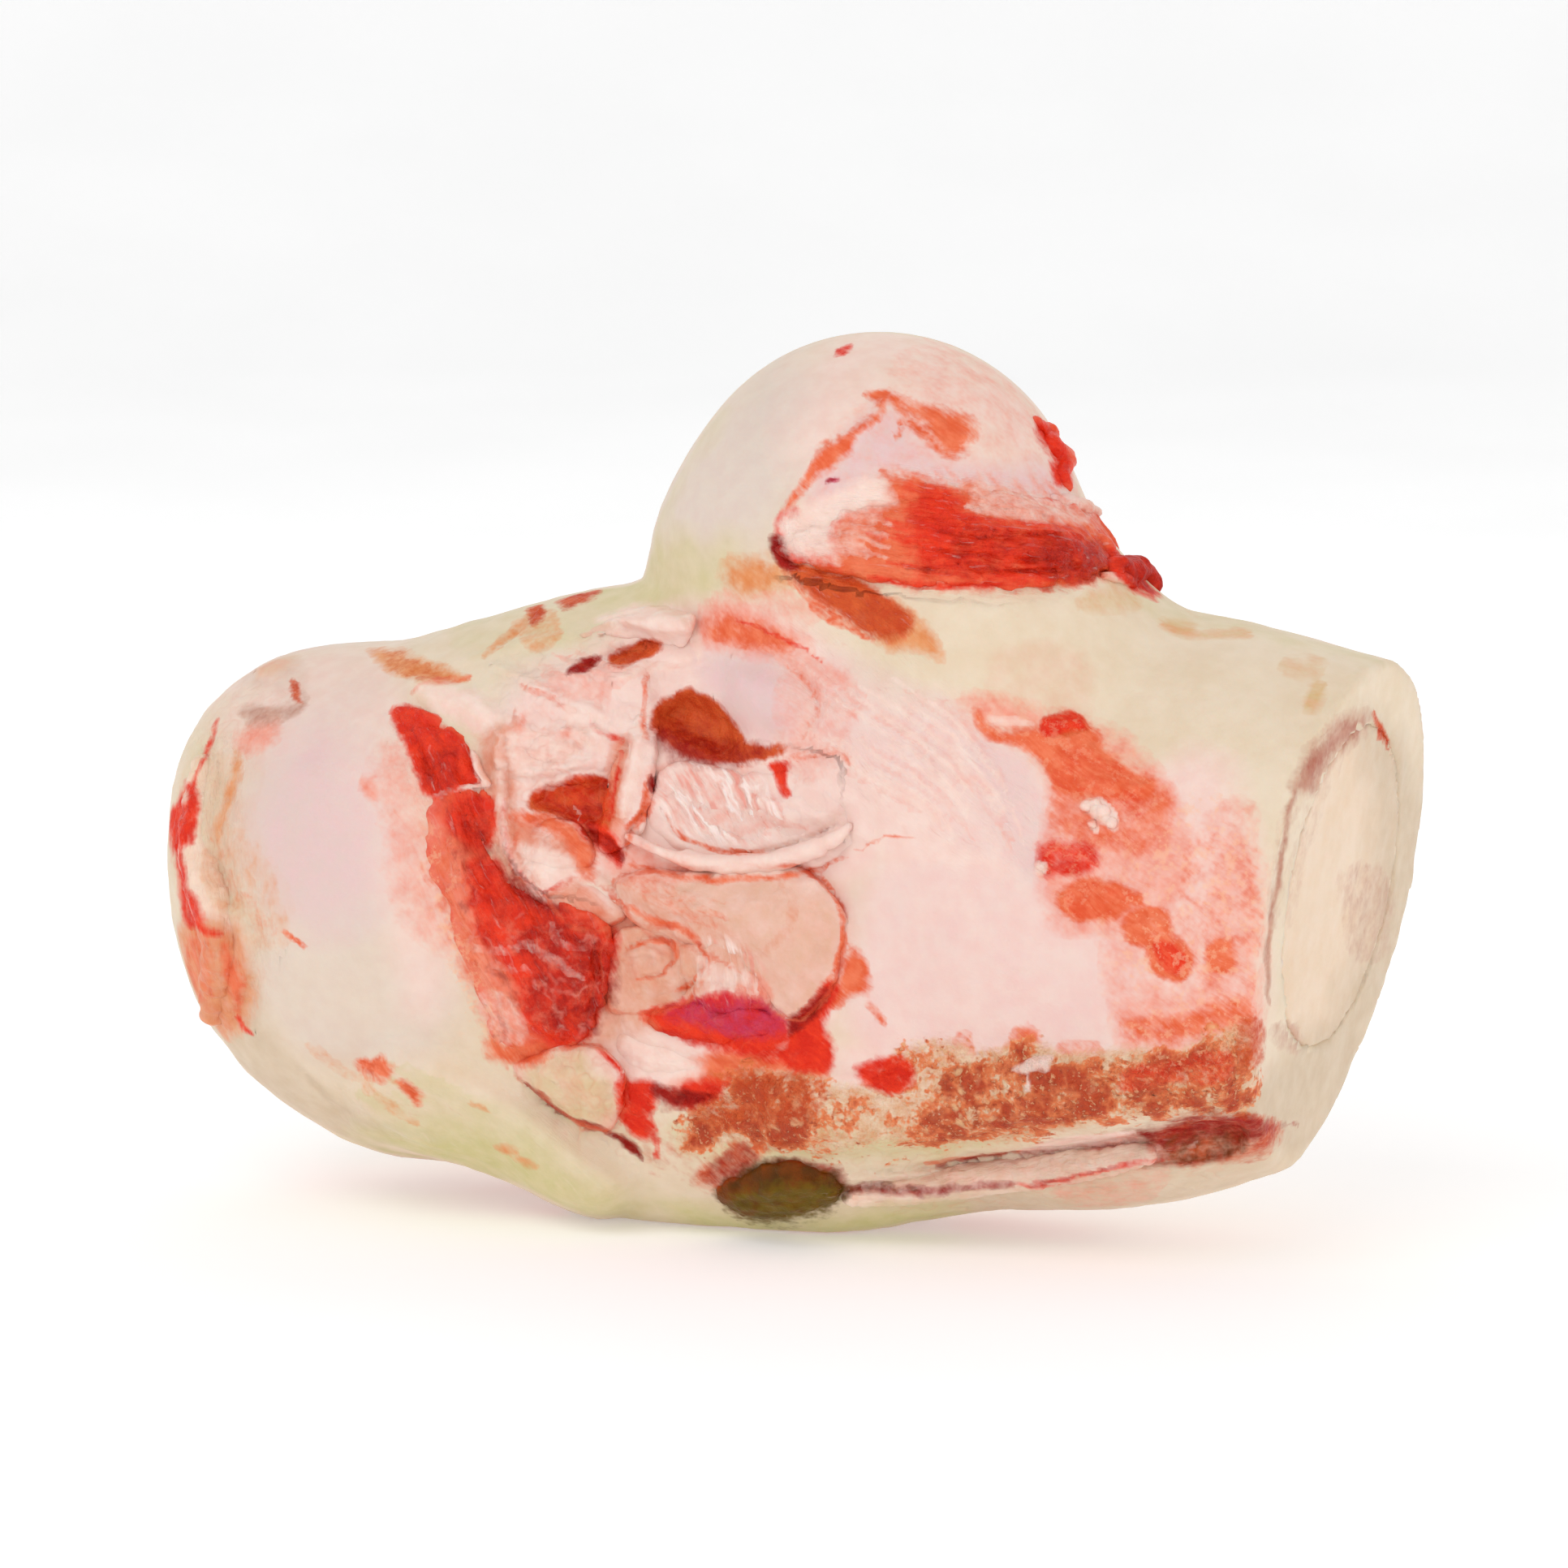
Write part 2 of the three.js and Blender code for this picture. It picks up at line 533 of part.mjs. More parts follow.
// The bone: its net, cut by the saw and the floor, and opened for the marrow.
const boneNet = surfaceNet(boneField, [-96, -48, -8], [100, 48, 130], BONE_CELL);
const saw = sawBlock(0);
const floor = floorBlock();
const bone = largest(solidOf(boneNet).subtract(saw).subtract(floor).subtract(marrowForm(0)));
addPiece("bone", bone, "bone");
addPiece("marrow", marrowForm(MARROW.gap).subtract(sawBlock(MARROW.recess)), "marrow");

// The soft pieces, each cut clear of the bone and of the pieces before it.
let taken = solidOf(swollen(boneNet, PIECE_GAP)).add(floor);
for (const piece of PIECES) {
  const spots = (piece.outline ?? piece.path).map((place) => onBone(place, 0));
  const margin = (piece.sink ?? piece.radius) + 3 * PIECE_CELL;
  const box = new THREE.Box3().setFromPoints(spots).expandByScalar(margin);
  const net = surfaceNet(pieceField(piece), box.min.toArray(), box.max.toArray(), piece.cell ?? PIECE_CELL);
  const solid = largest(solidOf(net).subtract(taken));
  addPiece(piece.name, solid, piece.finish);
  taken = taken.add(solidOf(swollen(net, PIECE_GAP)));
}

export default part;
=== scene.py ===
import math

import bpy
import numpy as np
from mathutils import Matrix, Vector


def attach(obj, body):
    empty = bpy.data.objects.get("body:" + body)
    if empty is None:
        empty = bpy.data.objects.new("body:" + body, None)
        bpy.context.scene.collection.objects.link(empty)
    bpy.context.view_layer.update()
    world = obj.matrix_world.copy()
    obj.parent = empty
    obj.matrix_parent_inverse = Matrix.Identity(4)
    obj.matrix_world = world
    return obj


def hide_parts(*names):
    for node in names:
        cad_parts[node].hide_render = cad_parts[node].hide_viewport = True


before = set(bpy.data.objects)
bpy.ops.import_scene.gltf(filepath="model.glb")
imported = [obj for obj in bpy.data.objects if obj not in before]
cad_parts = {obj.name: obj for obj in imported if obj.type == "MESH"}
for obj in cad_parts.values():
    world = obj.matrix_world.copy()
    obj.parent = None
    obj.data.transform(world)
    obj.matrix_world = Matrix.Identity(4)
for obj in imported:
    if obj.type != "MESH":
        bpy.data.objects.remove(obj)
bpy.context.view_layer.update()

# Sizes are in millimetres, in the bone's own frame: +X along the shaft towards the saw
# cut, near side -Y, +Z up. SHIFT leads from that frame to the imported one.
MM = 0.001
SHIFT = np.array([3.831, 0.229, -1.8])
HEAD_CENTRE = np.array([10.6, 4, 93.6])
HEAD_RADIUS = 27.3
NECK_FROM = np.array([13.6, 4, 87.6])
NECK_TO = np.array([22, 2, 66])
NECK_RADII = (24, 29)
COLLAR_CENTRE = np.array([1.6, 4, 88.6])
COLLAR_RADIUS = 21.8
FLANK_CENTRE = np.array([30, -1, 84.5])
FLANK_HALF = np.array([18, 21, 13.5])
FLANK_TURN = math.radians(40)
SAW_POINT = np.array([75.2, 0, 48])
SAW_NORMAL = np.array([1, -0.045, -0.135]) / math.hypot(1, 0.045, 0.135)
FLOOR = 1.8
MARROW_Y, MARROW_Z = 3.5, 50
MARROW_RADIUS = 21
MARROW_DEPTH = 84
MARROW_RECESS = 0.08

# The meshes' cells, and the boxes that hold the bone and the marrow
BONE_CELL = 1.1
MARROW_CELL = 0.9
PIECE_CELL = 0.5
SHEET_CELL = 0.25
BONE_BOX = ((-92, -38, -2), (84, 42, 124))
MARROW_BOX = ((-12, -20, 24), (84, 28, 76))
SINK_UNDER_BONE = 0.8
SKIN_DEPTH = 9
FAR = 1e9

# The body narrows below from here towards the saw cut, and is flatter below round the sole
KEEL_START = 20
KEEL_REACH = 60
SOLE_MIDDLE = -6
SOLE_REACH = 22
ROUNDNESS = 2.08
KEEL_PINCH = 0.38
SOLE_FLATNESS = 0.6
# How softly the forms run into each other
NECK_BLEND = 8
FLANK_BLEND = 10
COLLAR_BLEND = 8
HEAD_BLEND = 4

# The bone's fine relief: height and size of the bumps in mm, and seed
PLAIN_BUMPS = [(0.22, 9, 3), (0.08, 2.5, 5)]
MEATY_BUMPS = [(0.22, 1.3, 7), (0.16, 2.4, 8)]
RIDGE_BUMPS = [(0.4, 3, 9), (0.2, 1.6, 10)]
CUT_BUMPS = [(0.15, 5, 21), (0.05, 1.6, 22)]

# Cross-sections of the body along X: x, top, bottom, near, far, lean of the top
SECTIONS = np.array([
    (-87.6, 61, 49, -7, 6, 0),
    (-86.2, 66, 37, -15, 13, 0),
    (-82.8, 70.5, 24.5, -22, 20, 0),
    (-76.6, 74.5, 16.2, -27.5, 26, 0),
    (-69, 76.5, 11, -31, 30, 0),
    (-58, 77.6, 6.4, -32.5, 32, 0),
    (-46, 81, 5.8, -32, 32.5, 0),
    (-34, 84.5, 5.2, -31, 32, 0),
    (-22, 87, 0.6, -29.5, 31, 1),
    (-6, 87, 0, -28, 29.5, 2),
    (12, 87.5, 1.2, -28, 29, 3),
    (30, 87, 4.8, -28, 31, 3),
    (48, 85.4, 6.4, -27.5, 33, 4),
    (60, 83.5, 9, -27, 34, 4),
    (72, 81, 14, -26.5, 34, 3.5),
    (84, 78, 20.5, -26, 33.5, 3.5),
    (100, 75, 28, -26, 33, 3.5),
], float)

# The camera looks at the near side from this direction. A place on the sheet in front of
# it is (right, up), and belongs to the bone where the line of sight from the eye meets it.
VIEW_TURN = math.radians(22)
VIEW_TILT = math.radians(7)
LENS = 135
SENSOR = 36
EYE_DISTANCE = 796.95
EYE_SHEET = (-1.32, 59.84)
RIGHT = np.array([math.cos(VIEW_TURN), math.sin(VIEW_TURN), 0])
OUT = np.array([
    math.sin(VIEW_TURN) * math.cos(VIEW_TILT),
    -math.cos(VIEW_TURN) * math.cos(VIEW_TILT),
    math.sin(VIEW_TILT),
])
UP = np.cross(OUT, RIGHT)
EYE = EYE_SHEET[0] * RIGHT + EYE_SHEET[1] * UP + EYE_DISTANCE * OUT
SHEET_LOW = np.array([-94.0, -8.0])
SHEET_HIGH = np.array([94.0, 128.0])

# Relief of the bone: height, reach in from the edge, outline on the sheet
RELIEF = [
    # trochanter, and its tongue below the seam
    (2.2, 14, [(-76, 68), (-60, 75), (-47, 66), (-45, 45), (-40, 24), (-52, 13), (-68, 19), (-79, 45)]),
    (3, 5, [(-56, 26), (-40, 21), (-28, 12.5), (-20, 6), (-26, -1), (-46, 5), (-62, 13)]),
    # hollow behind the neck, and the dip left of the neck
    (-8, 9, [(-43, 60), (-37, 73), (-20, 78), (-4, 68), (13, 57), (10, 40), (2, 25), (-16, 17), (-29, 23),
        (-34, 40)]),
    (-1.2, 8, [(-27, 90), (-10, 96), (3, 91), (-4, 77), (-20, 78)]),
    # crease under the neck meat
    (-2.5, 2, [(-3, 92), (14, 87.6), (34, 87.4), (43, 87), (34, 84.6), (14, 84.8), (0, 88)]),
    # rough ridge of the shaft, and the tendon groove under it
    (2.2, 4, [(-6, 20), (28, 23), (60, 26), (61, 15), (30, 11), (-3, 10)]),
    (-1.5, 2, [(3, 6.5), (30, 11), (61, 14.5), (61, 9.5), (30, 7.5)]),
    # brown opening, slit above it, and the pad right of it
    (-6, 3, [(-19.5, 69), (-14, 73.2), (-5, 67), (-9, 62.8)]),
    (-3, 1.5, [(-31, 74.5), (-25, 78.4), (-18, 79.5), (-22, 76)]),
    (2.8, 5, [(-9, 77), (1, 76), (2, 68), (-4, 65), (-10, 70)]),
    # swell of the shaft
    (1.2, 14, [(8, 70), (30, 66), (40, 45), (34, 28), (14, 28), (7, 48)]),
    # rim at the left end
    (-1.0, 2.4, [(-78, 66), (-74.5, 58), (-75, 46), (-70.5, 38), (-73, 26), (-77, 27), (-74.5, 38),
        (-79, 46), (-80, 58)]),
]

# Soft tissue that lines the hollow between the pads, on top of the bone's relief
LINING = [
    (6.4, 9, [(-43, 60), (-37, 73), (-20, 78), (-4, 68), (13, 57), (10, 40), (2, 25), (-16, 17), (-29, 23),
        (-34, 40)]),
    (4, 3, [(-19.5, 69), (-14, 73.2), (-5, 67), (-9, 62.8)]),
    (0.9, 1.4, [(-3, 65), (4, 64), (10, 58), (10.6, 51.6), (7.6, 52.4), (6.4, 57), (2.4, 61), (-3, 62.4)]),
    (1.8, 1.5, [(-31, 74.5), (-25, 78.4), (-18, 79.5), (-22, 76)]),
    (1.6, 1.5, [(-3, 91.5), (14, 87.4), (34, 87.2), (43, 87), (34, 84.8), (14, 85), (0, 88.4)]),
    (2.2, 2, [(-16.6, 38), (-8, 40), (-3, 34), (-1.6, 30.4), (-5, 28.4), (-13, 29.2)]),
    (1.2, 2, [(-24, 30), (-10, 33), (2, 28), (-4, 22), (-14, 22), (-24, 26)]),
    (1, 1.5, [(-37, 49), (-30, 50), (-22, 44), (-26, 40), (-34, 42)]),
    (1.2, 2.5, [(-42, 64), (-38, 74), (-20, 77), (-18, 66), (-23, 62), (-36, 60)]),
]


def smooth_min(a, b, k):
    h = np.clip(0.5 + 0.5 * (b - a) / k, 0, 1)
    return b + (a - b) * h - k * h * (1 - h)


def smooth_max(a, b, k):
    return -smooth_min(-a, -b, k)


def smooth_step(value, low, high):
    t = np.clip((value - low) / (high - low), 0, 1)
    return t * t * (3 - 2 * t)


def ball(p, centre, radius):
    return np.linalg.norm(p - centre, axis=1) - radius


def column(x, index):
    """A smooth curve through one column of the sections."""
    xs, ys = SECTIONS[:, 0], SECTIONS[:, index]
    slopes = np.gradient(ys)
    slopes[1:-1] = (ys[2:] - ys[:-2]) / (xs[2:] - xs[:-2])
    slopes[0] = (ys[1] - ys[0]) / (xs[1] - xs[0])
    slopes[-1] = (ys[-1] - ys[-2]) / (xs[-1] - xs[-2])
    x = np.clip(x, xs[0], xs[-1])
    i = np.clip(np.searchsorted(xs, x, side="right") - 1, 0, len(xs) - 2)
    h = xs[i + 1] - xs[i]
    t = (x - xs[i]) / h
    rest = 1 - t
    return ((1 + 2 * t) * rest ** 2 * ys[i] + t * rest ** 2 * h * slopes[i]
            + t * t * (3 - 2 * t) * ys[i + 1] - t * t * rest * h * slopes[i + 1])


def body_field(p):
    """The body: a tube of rounded sections, narrower below towards the saw cut, with a flat sole."""
    x = p[:, 0]
    top, bottom, near, far, lean = (column(x, i) for i in range(1, 6))
    middle = (top + bottom) / 2
    half_z = (top - bottom) / 2
    half_y = (far - near) / 2
    up = np.clip((p[:, 2] - middle) / half_z, -1.1, 1.1)
    centre_y = (far + near) / 2 + lean * up
    keel = (up < 0) * np.clip((x - KEEL_START) / KEEL_REACH, 0, 1)
    sole = (up < 0) * np.clip(1.6 - np.abs(x - SOLE_MIDDLE) / SOLE_REACH, 0, 1)
    power = ROUNDNESS - KEEL_PINCH * keel + SOLE_FLATNESS * sole
    across = np.abs(p[:, 1] - centre_y) / half_y
    upright = np.abs(p[:, 2] - middle) / half_z
    ring = (across ** power + upright ** power) ** (1 / power)
    side = (ring - 1) * np.minimum(half_y, half_z) * 0.9
    return smooth_max(side, SECTIONS[0, 0] - x, 3)


def neck_field(p):
    """The neck: a blunt cone from the joint head down into the body."""
    span = NECK_TO - NECK_FROM
    offset = p - NECK_FROM
    t = np.clip(offset @ span / (span @ span), 0, 1)
    radius = NECK_RADII[0] + (NECK_RADII[1] - NECK_RADII[0]) * t
    return np.linalg.norm(offset - t[:, None] * span, axis=1) - radius


def flank_field(p):
    """The shoulder from the neck down to the shaft: a turned ellipsoid."""
    d = p - FLANK_CENTRE
    along = d[:, 0] * math.cos(FLANK_TURN) - d[:, 2] * math.sin(FLANK_TURN)
    upright = d[:, 0] * math.sin(FLANK_TURN) + d[:, 2] * math.cos(FLANK_TURN)
    q = np.stack([along, d[:, 1], upright], axis=1)
    ring = np.linalg.norm(q / FLANK_HALF, axis=1)
    slope = np.linalg.norm(q / FLANK_HALF ** 2, axis=1)
    return ring * (ring - 1) / np.maximum(slope, 1e-9)


def plain_field(p):
    """The bone's plain form, before its relief: negative inside."""
    field = smooth_min(body_field(p), neck_field(p), NECK_BLEND)
    field = smooth_min(field, flank_field(p), FLANK_BLEND)
    field = smooth_min(field, ball(p, COLLAR_CENTRE, COLLAR_RADIUS), COLLAR_BLEND)
    return smooth_min(field, ball(p, HEAD_CENTRE, HEAD_RADIUS), HEAD_BLEND)


def on_sheet(p):
    """Where points lie on the sheet: right, up, and how far they stand out of it."""
    offset = p - EYE
    depth = -(offset @ OUT)
    scale = EYE_DISTANCE / depth
    return (offset @ RIGHT * scale + EYE_SHEET[0], offset @ UP * scale + EYE_SHEET[1],
            EYE_DISTANCE - depth)


def on_bone(place, lift):
    """Where the line of sight through a place first meets the plain bone, or comes closest."""
    aim = place[0] * RIGHT + place[1] * UP - EYE
    aim /= np.linalg.norm(aim)
    points = EYE + np.arange(EYE_DISTANCE - 70, EYE_DISTANCE + 70, 0.5)[:, None] * aim
    field = plain_field(points)
    hits = np.nonzero(field < 0)[0]
    best = hits[0] if len(hits) else np.argmin(field)
    return points[best] + lift * OUT


def random_lattice(p, seed):
    """Smooth value noise from -1 to 1 with a cell of 1."""
    table = np.random.RandomState(seed).uniform(-1, 1, 4096)
    base = np.floor(p).astype(np.int64)
    f = p - base
    f = f * f * f * (f * (f * 6 - 15) + 10)
    total = np.zeros(len(p))
    for corner in range(8):
        step = np.array([corner & 1, corner >> 1 & 1, corner >> 2 & 1])
        cell = base + step
        key = (cell[:, 0] * 73856093) ^ (cell[:, 1] * 19349663) ^ (cell[:, 2] * 83492791)
        weight = np.prod(np.where(step, f, 1 - f), axis=1)
        total += weight * table[key & 4095]
    return total


def noise(p, size, seed):
    """Noise in two octaves, with bumps of a size in mm."""
    coarse = random_lattice(p / size, seed)
    return coarse + random_lattice(p * 2 / size + 31.7, seed + 1) / 2


def bumps(p, waves):
    """The sum of several noises: height and size in mm, and seed."""
    return sum(height * noise(p, size, seed) for height, size, seed in waves)


def smooth_curve(points, closed, per_span=6):
    """A centripetal Catmull-Rom curve through points."""
    p = np.asarray(points, float)
    if closed:
        p = np.vstack([p[-1], p, p[0], p[1]])
    else:
        p = np.vstack([2 * p[0] - p[1], p, 2 * p[-1] - p[-2]])
    spans = []
    for a, b, c, d in zip(p, p[1:], p[2:], p[3:]):
        t1 = np.linalg.norm(b - a) ** 0.5
        t2 = t1 + np.linalg.norm(c - b) ** 0.5
        t3 = t2 + np.linalg.norm(d - c) ** 0.5
        t = np.linspace(t1, t2, per_span, endpoint=False)[:, None]
        ab = a + (b - a) * t / t1
        bc = b + (c - b) * (t - t1) / (t2 - t1)
        cd = c + (d - c) * (t - t2) / (t3 - t2)
        abc = ab + (bc - ab) * t / t2
        bcd = bc + (cd - bc) * (t - t1) / (t3 - t1)
        spans.append(abc + (bcd - abc) * (t - t1) / (t2 - t1))
    if not closed:
        spans.append(p[-2:-1])
    return np.vstack(spans)


class Sheet:
    """Maps drawn on the sheet with outlines and lines, and read back at any place."""

    def __init__(self):
        self.count = np.ceil((SHEET_HIGH - SHEET_LOW) / SHEET_CELL).astype(int) + 1

    def blank(self, value):
        return np.full(self.count, float(value))

    def window(self, curve, margin):
        """The part of the sheet round a curve, and its places."""
        low = np.floor((curve.min(axis=0) - margin - SHEET_LOW) / SHEET_CELL).astype(int)
        high = np.ceil((curve.max(axis=0) + margin - SHEET_LOW) / SHEET_CELL).astype(int) + 1
        low, high = np.clip(low, 0, self.count), np.clip(high, 0, self.count)
        u = (SHEET_LOW[0] + SHEET_CELL * np.arange(low[0], high[0]))[:, None]
        v = (SHEET_LOW[1] + SHEET_CELL * np.arange(low[1], high[1]))[None, :]
        return (slice(low[0], high[0]), slice(low[1], high[1])), u, v

    def stroke(self, curve, half_width, margin):
        """The distance to a stroke's edge, negative inside. Its two ends are thinner."""
        window, u, v = self.window(curve, half_width + margin)
        nearest = np.full((u.size, v.size), FAR)
        t = np.linspace(0, np.pi, len(curve))
        radii = half_width * (0.4 + 0.6 * np.sin(t) ** 0.6)
        for a, b, radius in zip(curve, curve[1:], (radii[1:] + radii[:-1]) / 2):
            ex, ey = b - a
            s = np.clip(((u - a[0]) * ex + (v - a[1]) * ey) / max(ex * ex + ey * ey, 1e-9), 0, 1)
            away = np.hypot(u - a[0] - s * ex, v - a[1] - s * ey)
            nearest = np.minimum(nearest, away - radius)
        return window, nearest

    def distance(self, outline, margin):
        """The distance to a rounded outline, negative inside."""
        curve = smooth_curve(outline, True)
        window, u, v = self.window(curve, margin)
        nearest = np.full((u.size, v.size), FAR)
        inside = np.zeros(nearest.shape, bool)
        for a, b in zip(curve, np.roll(curve, -1, axis=0)):
            ex, ey = b - a
            t = np.clip(((u - a[0]) * ex + (v - a[1]) * ey) / max(ex * ex + ey * ey, 1e-9), 0, 1)
            nearest = np.minimum(nearest, (u - a[0] - t * ex) ** 2 + (v - a[1] - t * ey) ** 2)
            if a[1] != b[1]:
                inside ^= ((a[1] > v) != (b[1] > v)) & (u < a[0] + ex * (v - a[1]) / ey)
        nearest = np.sqrt(nearest)
        return window, np.where(inside, -nearest, nearest)

    def nearest(self, values, u, v):
        """The map's value at the nearest lower point."""
        i = np.clip(((u - SHEET_LOW[0]) / SHEET_CELL).astype(int), 0, self.count[0] - 1)
        j = np.clip(((v - SHEET_LOW[1]) / SHEET_CELL).astype(int), 0, self.count[1] - 1)
        return values[i, j]

    def read(self, values, u, v):
        """The map's value between its points."""
        x = np.clip((u - SHEET_LOW[0]) / SHEET_CELL, 0, self.count[0] - 1.001)
        y = np.clip((v - SHEET_LOW[1]) / SHEET_CELL, 0, self.count[1] - 1.001)
        i, j = x.astype(int), y.astype(int)
        fx, fy = x - i, y - j
        return ((values[i, j] * (1 - fx) + values[i + 1, j] * fx) * (1 - fy)
                + (values[i, j + 1] * (1 - fx) + values[i + 1, j + 1] * fx) * fy)


sheet = Sheet()


def rise(distance, reach):
    """A soft step from 0 at an outline to 1 that far inside it."""
    return smooth_step(-distance, 0, reach)


def height_map(forms):
    """The forms' heights added up."""
    total = sheet.blank(0)
    for height, reach, outline in forms:
        window, distance = sheet.distance(outline, 1)
        total[window] += height * rise(distance, reach)
    return total


relief_map = height_map(RELIEF) + height_map(LINING)


def bone_field(p):
    """The bone with its relief, which works on the near side alone."""
    u, v, out = on_sheet(p)
    return plain_field(p) - smooth_step(out, -8, 4) * sheet.read(relief_map, u, v)


def marrow_field(p):
    """The marrow space: a blunt cone that narrows from the saw cut into the bone."""
    back = np.clip((SAW_POINT[0] - p[:, 0]) / MARROW_DEPTH, 0, 1)
    flare = smooth_step(-back, -0.5, 0)
    radius = MARROW_RADIUS * np.sqrt(np.clip(1 - (2 * back - 1).clip(0) ** 2, 0, 1))
    radius *= 0.86 + 0.14 * flare
    across = np.hypot(p[:, 1] - MARROW_Y, p[:, 2] - MARROW_Z)
    return np.maximum(across - radius, (SAW_POINT[0] - MARROW_DEPTH) - p[:, 0])


def beyond_saw(p):
    """The distance to the saw cut, positive beyond it."""
    return (p - SAW_POINT) @ SAW_NORMAL


def cut_bone_field(p):
    """The bone with its saw cut, its flat spot below and its marrow space."""
    field = smooth_max(bone_field(p), beyond_saw(p), 0.9)
    field = smooth_max(field, FLOOR - p[:, 2], 0.4)
    return smooth_max(field, -marrow_field(p), 0.1)


def grid_values(field, low, high, cell):
    """The field on a grid. The grid's outermost points count as outside."""
    count = np.ceil((np.asarray(high) - low) / cell).astype(int) + 1
    axes = [low[i] + cell * np.arange(count[i]) for i in range(3)]
    values = np.empty(count)
    for i, x in enumerate(axes[0]):
        y, z = np.meshgrid(axes[1], axes[2], indexing="ij")
        points = np.stack([np.full(y.size, x), y.ravel(), z.ravel()], axis=1)
        values[i] = field(points).reshape(y.shape)
    for axis in range(3):
        rim = np.moveaxis(values, axis, 0)
        rim[[0, -1]] = cell
    return values


def surface_net(field, low, high, cell):
    """The mesh of a field's zero level: one vertex in each cell that it crosses, and quads."""
    low = np.asarray(low, float)
    values = grid_values(field, low, high, cell)
    inside = values < 0
    count = np.array(values.shape)
    corners = np.zeros(count - 1, np.int8)
    for x in (0, 1):
        for y in (0, 1):
            for z in (0, 1):
                corners += inside[x:count[0] - 1 + x, y:count[1] - 1 + y, z:count[2] - 1 + z]
    active = (corners > 0) & (corners < 8)
    number = np.full(active.shape, -1)
    number[active] = np.arange(active.sum())
    base = np.argwhere(active)
    total = np.zeros((len(base), 3))
    crossings = np.zeros(len(base))
    quads = []
    for axis in range(3):
        one, two = (axis + 1) % 3, (axis + 2) % 3
        for a in (0, 1):
            for b in (0, 1):
                start = base.copy()
                start[:, one] += a
                start[:, two] += b
                end = start.copy()
                end[:, axis] += 1
                f0, f1 = values[tuple(start.T)], values[tuple(end.T)]
                crossed = (f0 < 0) != (f1 < 0)
                point = start.astype(float)
                point[:, axis] += f0 / np.where(crossed, f0 - f1, 1)
                total[crossed] += point[crossed]
                crossings[crossed] += 1
        first, second = [slice(None)] * 3, [slice(None)] * 3
        first[axis] = slice(0, count[axis] - 1)
        second[axis] = slice(1, count[axis])
        edge = np.argwhere(inside[tuple(first)] != inside[tuple(second)])
        ring = []
        for a, b in ((-1, -1), (0, -1), (0, 0), (-1, 0)):
            cell_at = edge.copy()
            cell_at[:, one] += a
            cell_at[:, two] += b
            ring.append(number[tuple(cell_at.T)])
        quad = np.stack(ring, axis=1)
        outward = inside[tuple(edge.T)]
        quads.append(np.where(outward[:, None], quad, quad[:, ::-1]))
    return low + cell * total / crossings[:, None], np.concatenate(quads)


def slope_of(field, points, step=0.3):
    """Unit normals of a field."""
    slope = np.empty_like(points)
    for axis in range(3):
        offset = np.zeros(3)
        offset[axis] = step
        slope[:, axis] = field(points + offset) - field(points - offset)
    return slope / np.maximum(np.linalg.norm(slope, axis=1), 1e-9)[:, None]


def settle(field, points, rounds=2):
    """Moves points onto the field's zero level."""
    for _ in range(rounds):
        points = points - slope_of(field, points) * np.clip(field(points), -0.6, 0.6)[:, None]
    return points


def split_quads(points, quads, chosen):
    """Splits the chosen quads in four. Their neighbours take the new points on their edges."""
    sides = np.stack([quads, np.roll(quads, -1, axis=1)], axis=2)
    keys = np.sort(sides, axis=2)
    flat = keys[..., 0].astype(np.int64) * len(points) + keys[..., 1]
    edges = np.unique(flat[chosen])
    ends = np.stack([edges // len(points), edges % len(points)], axis=1)
    middle_of = np.searchsorted(edges, flat)
    middle_of = np.clip(middle_of, 0, len(edges) - 1)
    has_middle = edges[middle_of] == flat
    first_middle = len(points)
    first_centre = first_middle + len(edges)
    centres = points[quads[chosen]].mean(axis=1)
    new_points = np.vstack([points, points[ends].mean(axis=1), centres])
    faces = []
    middles = middle_of[chosen] + first_middle
    corner = quads[chosen]
    centre = first_centre + np.arange(len(corner))
    for i in range(4):
        faces.extend(np.stack([corner[:, i], middles[:, i], centre, middles[:, i - 1]], axis=1).tolist())
    for quad, middle, has in zip(quads[~chosen].tolist(), middle_of[~chosen].tolist(),
                                 has_middle[~chosen].tolist()):
        face = []
        for i in range(4):
            face.append(quad[i])
            if has[i]:
                face.append(first_middle + middle[i])
        faces.append(face)
    return new_points, faces


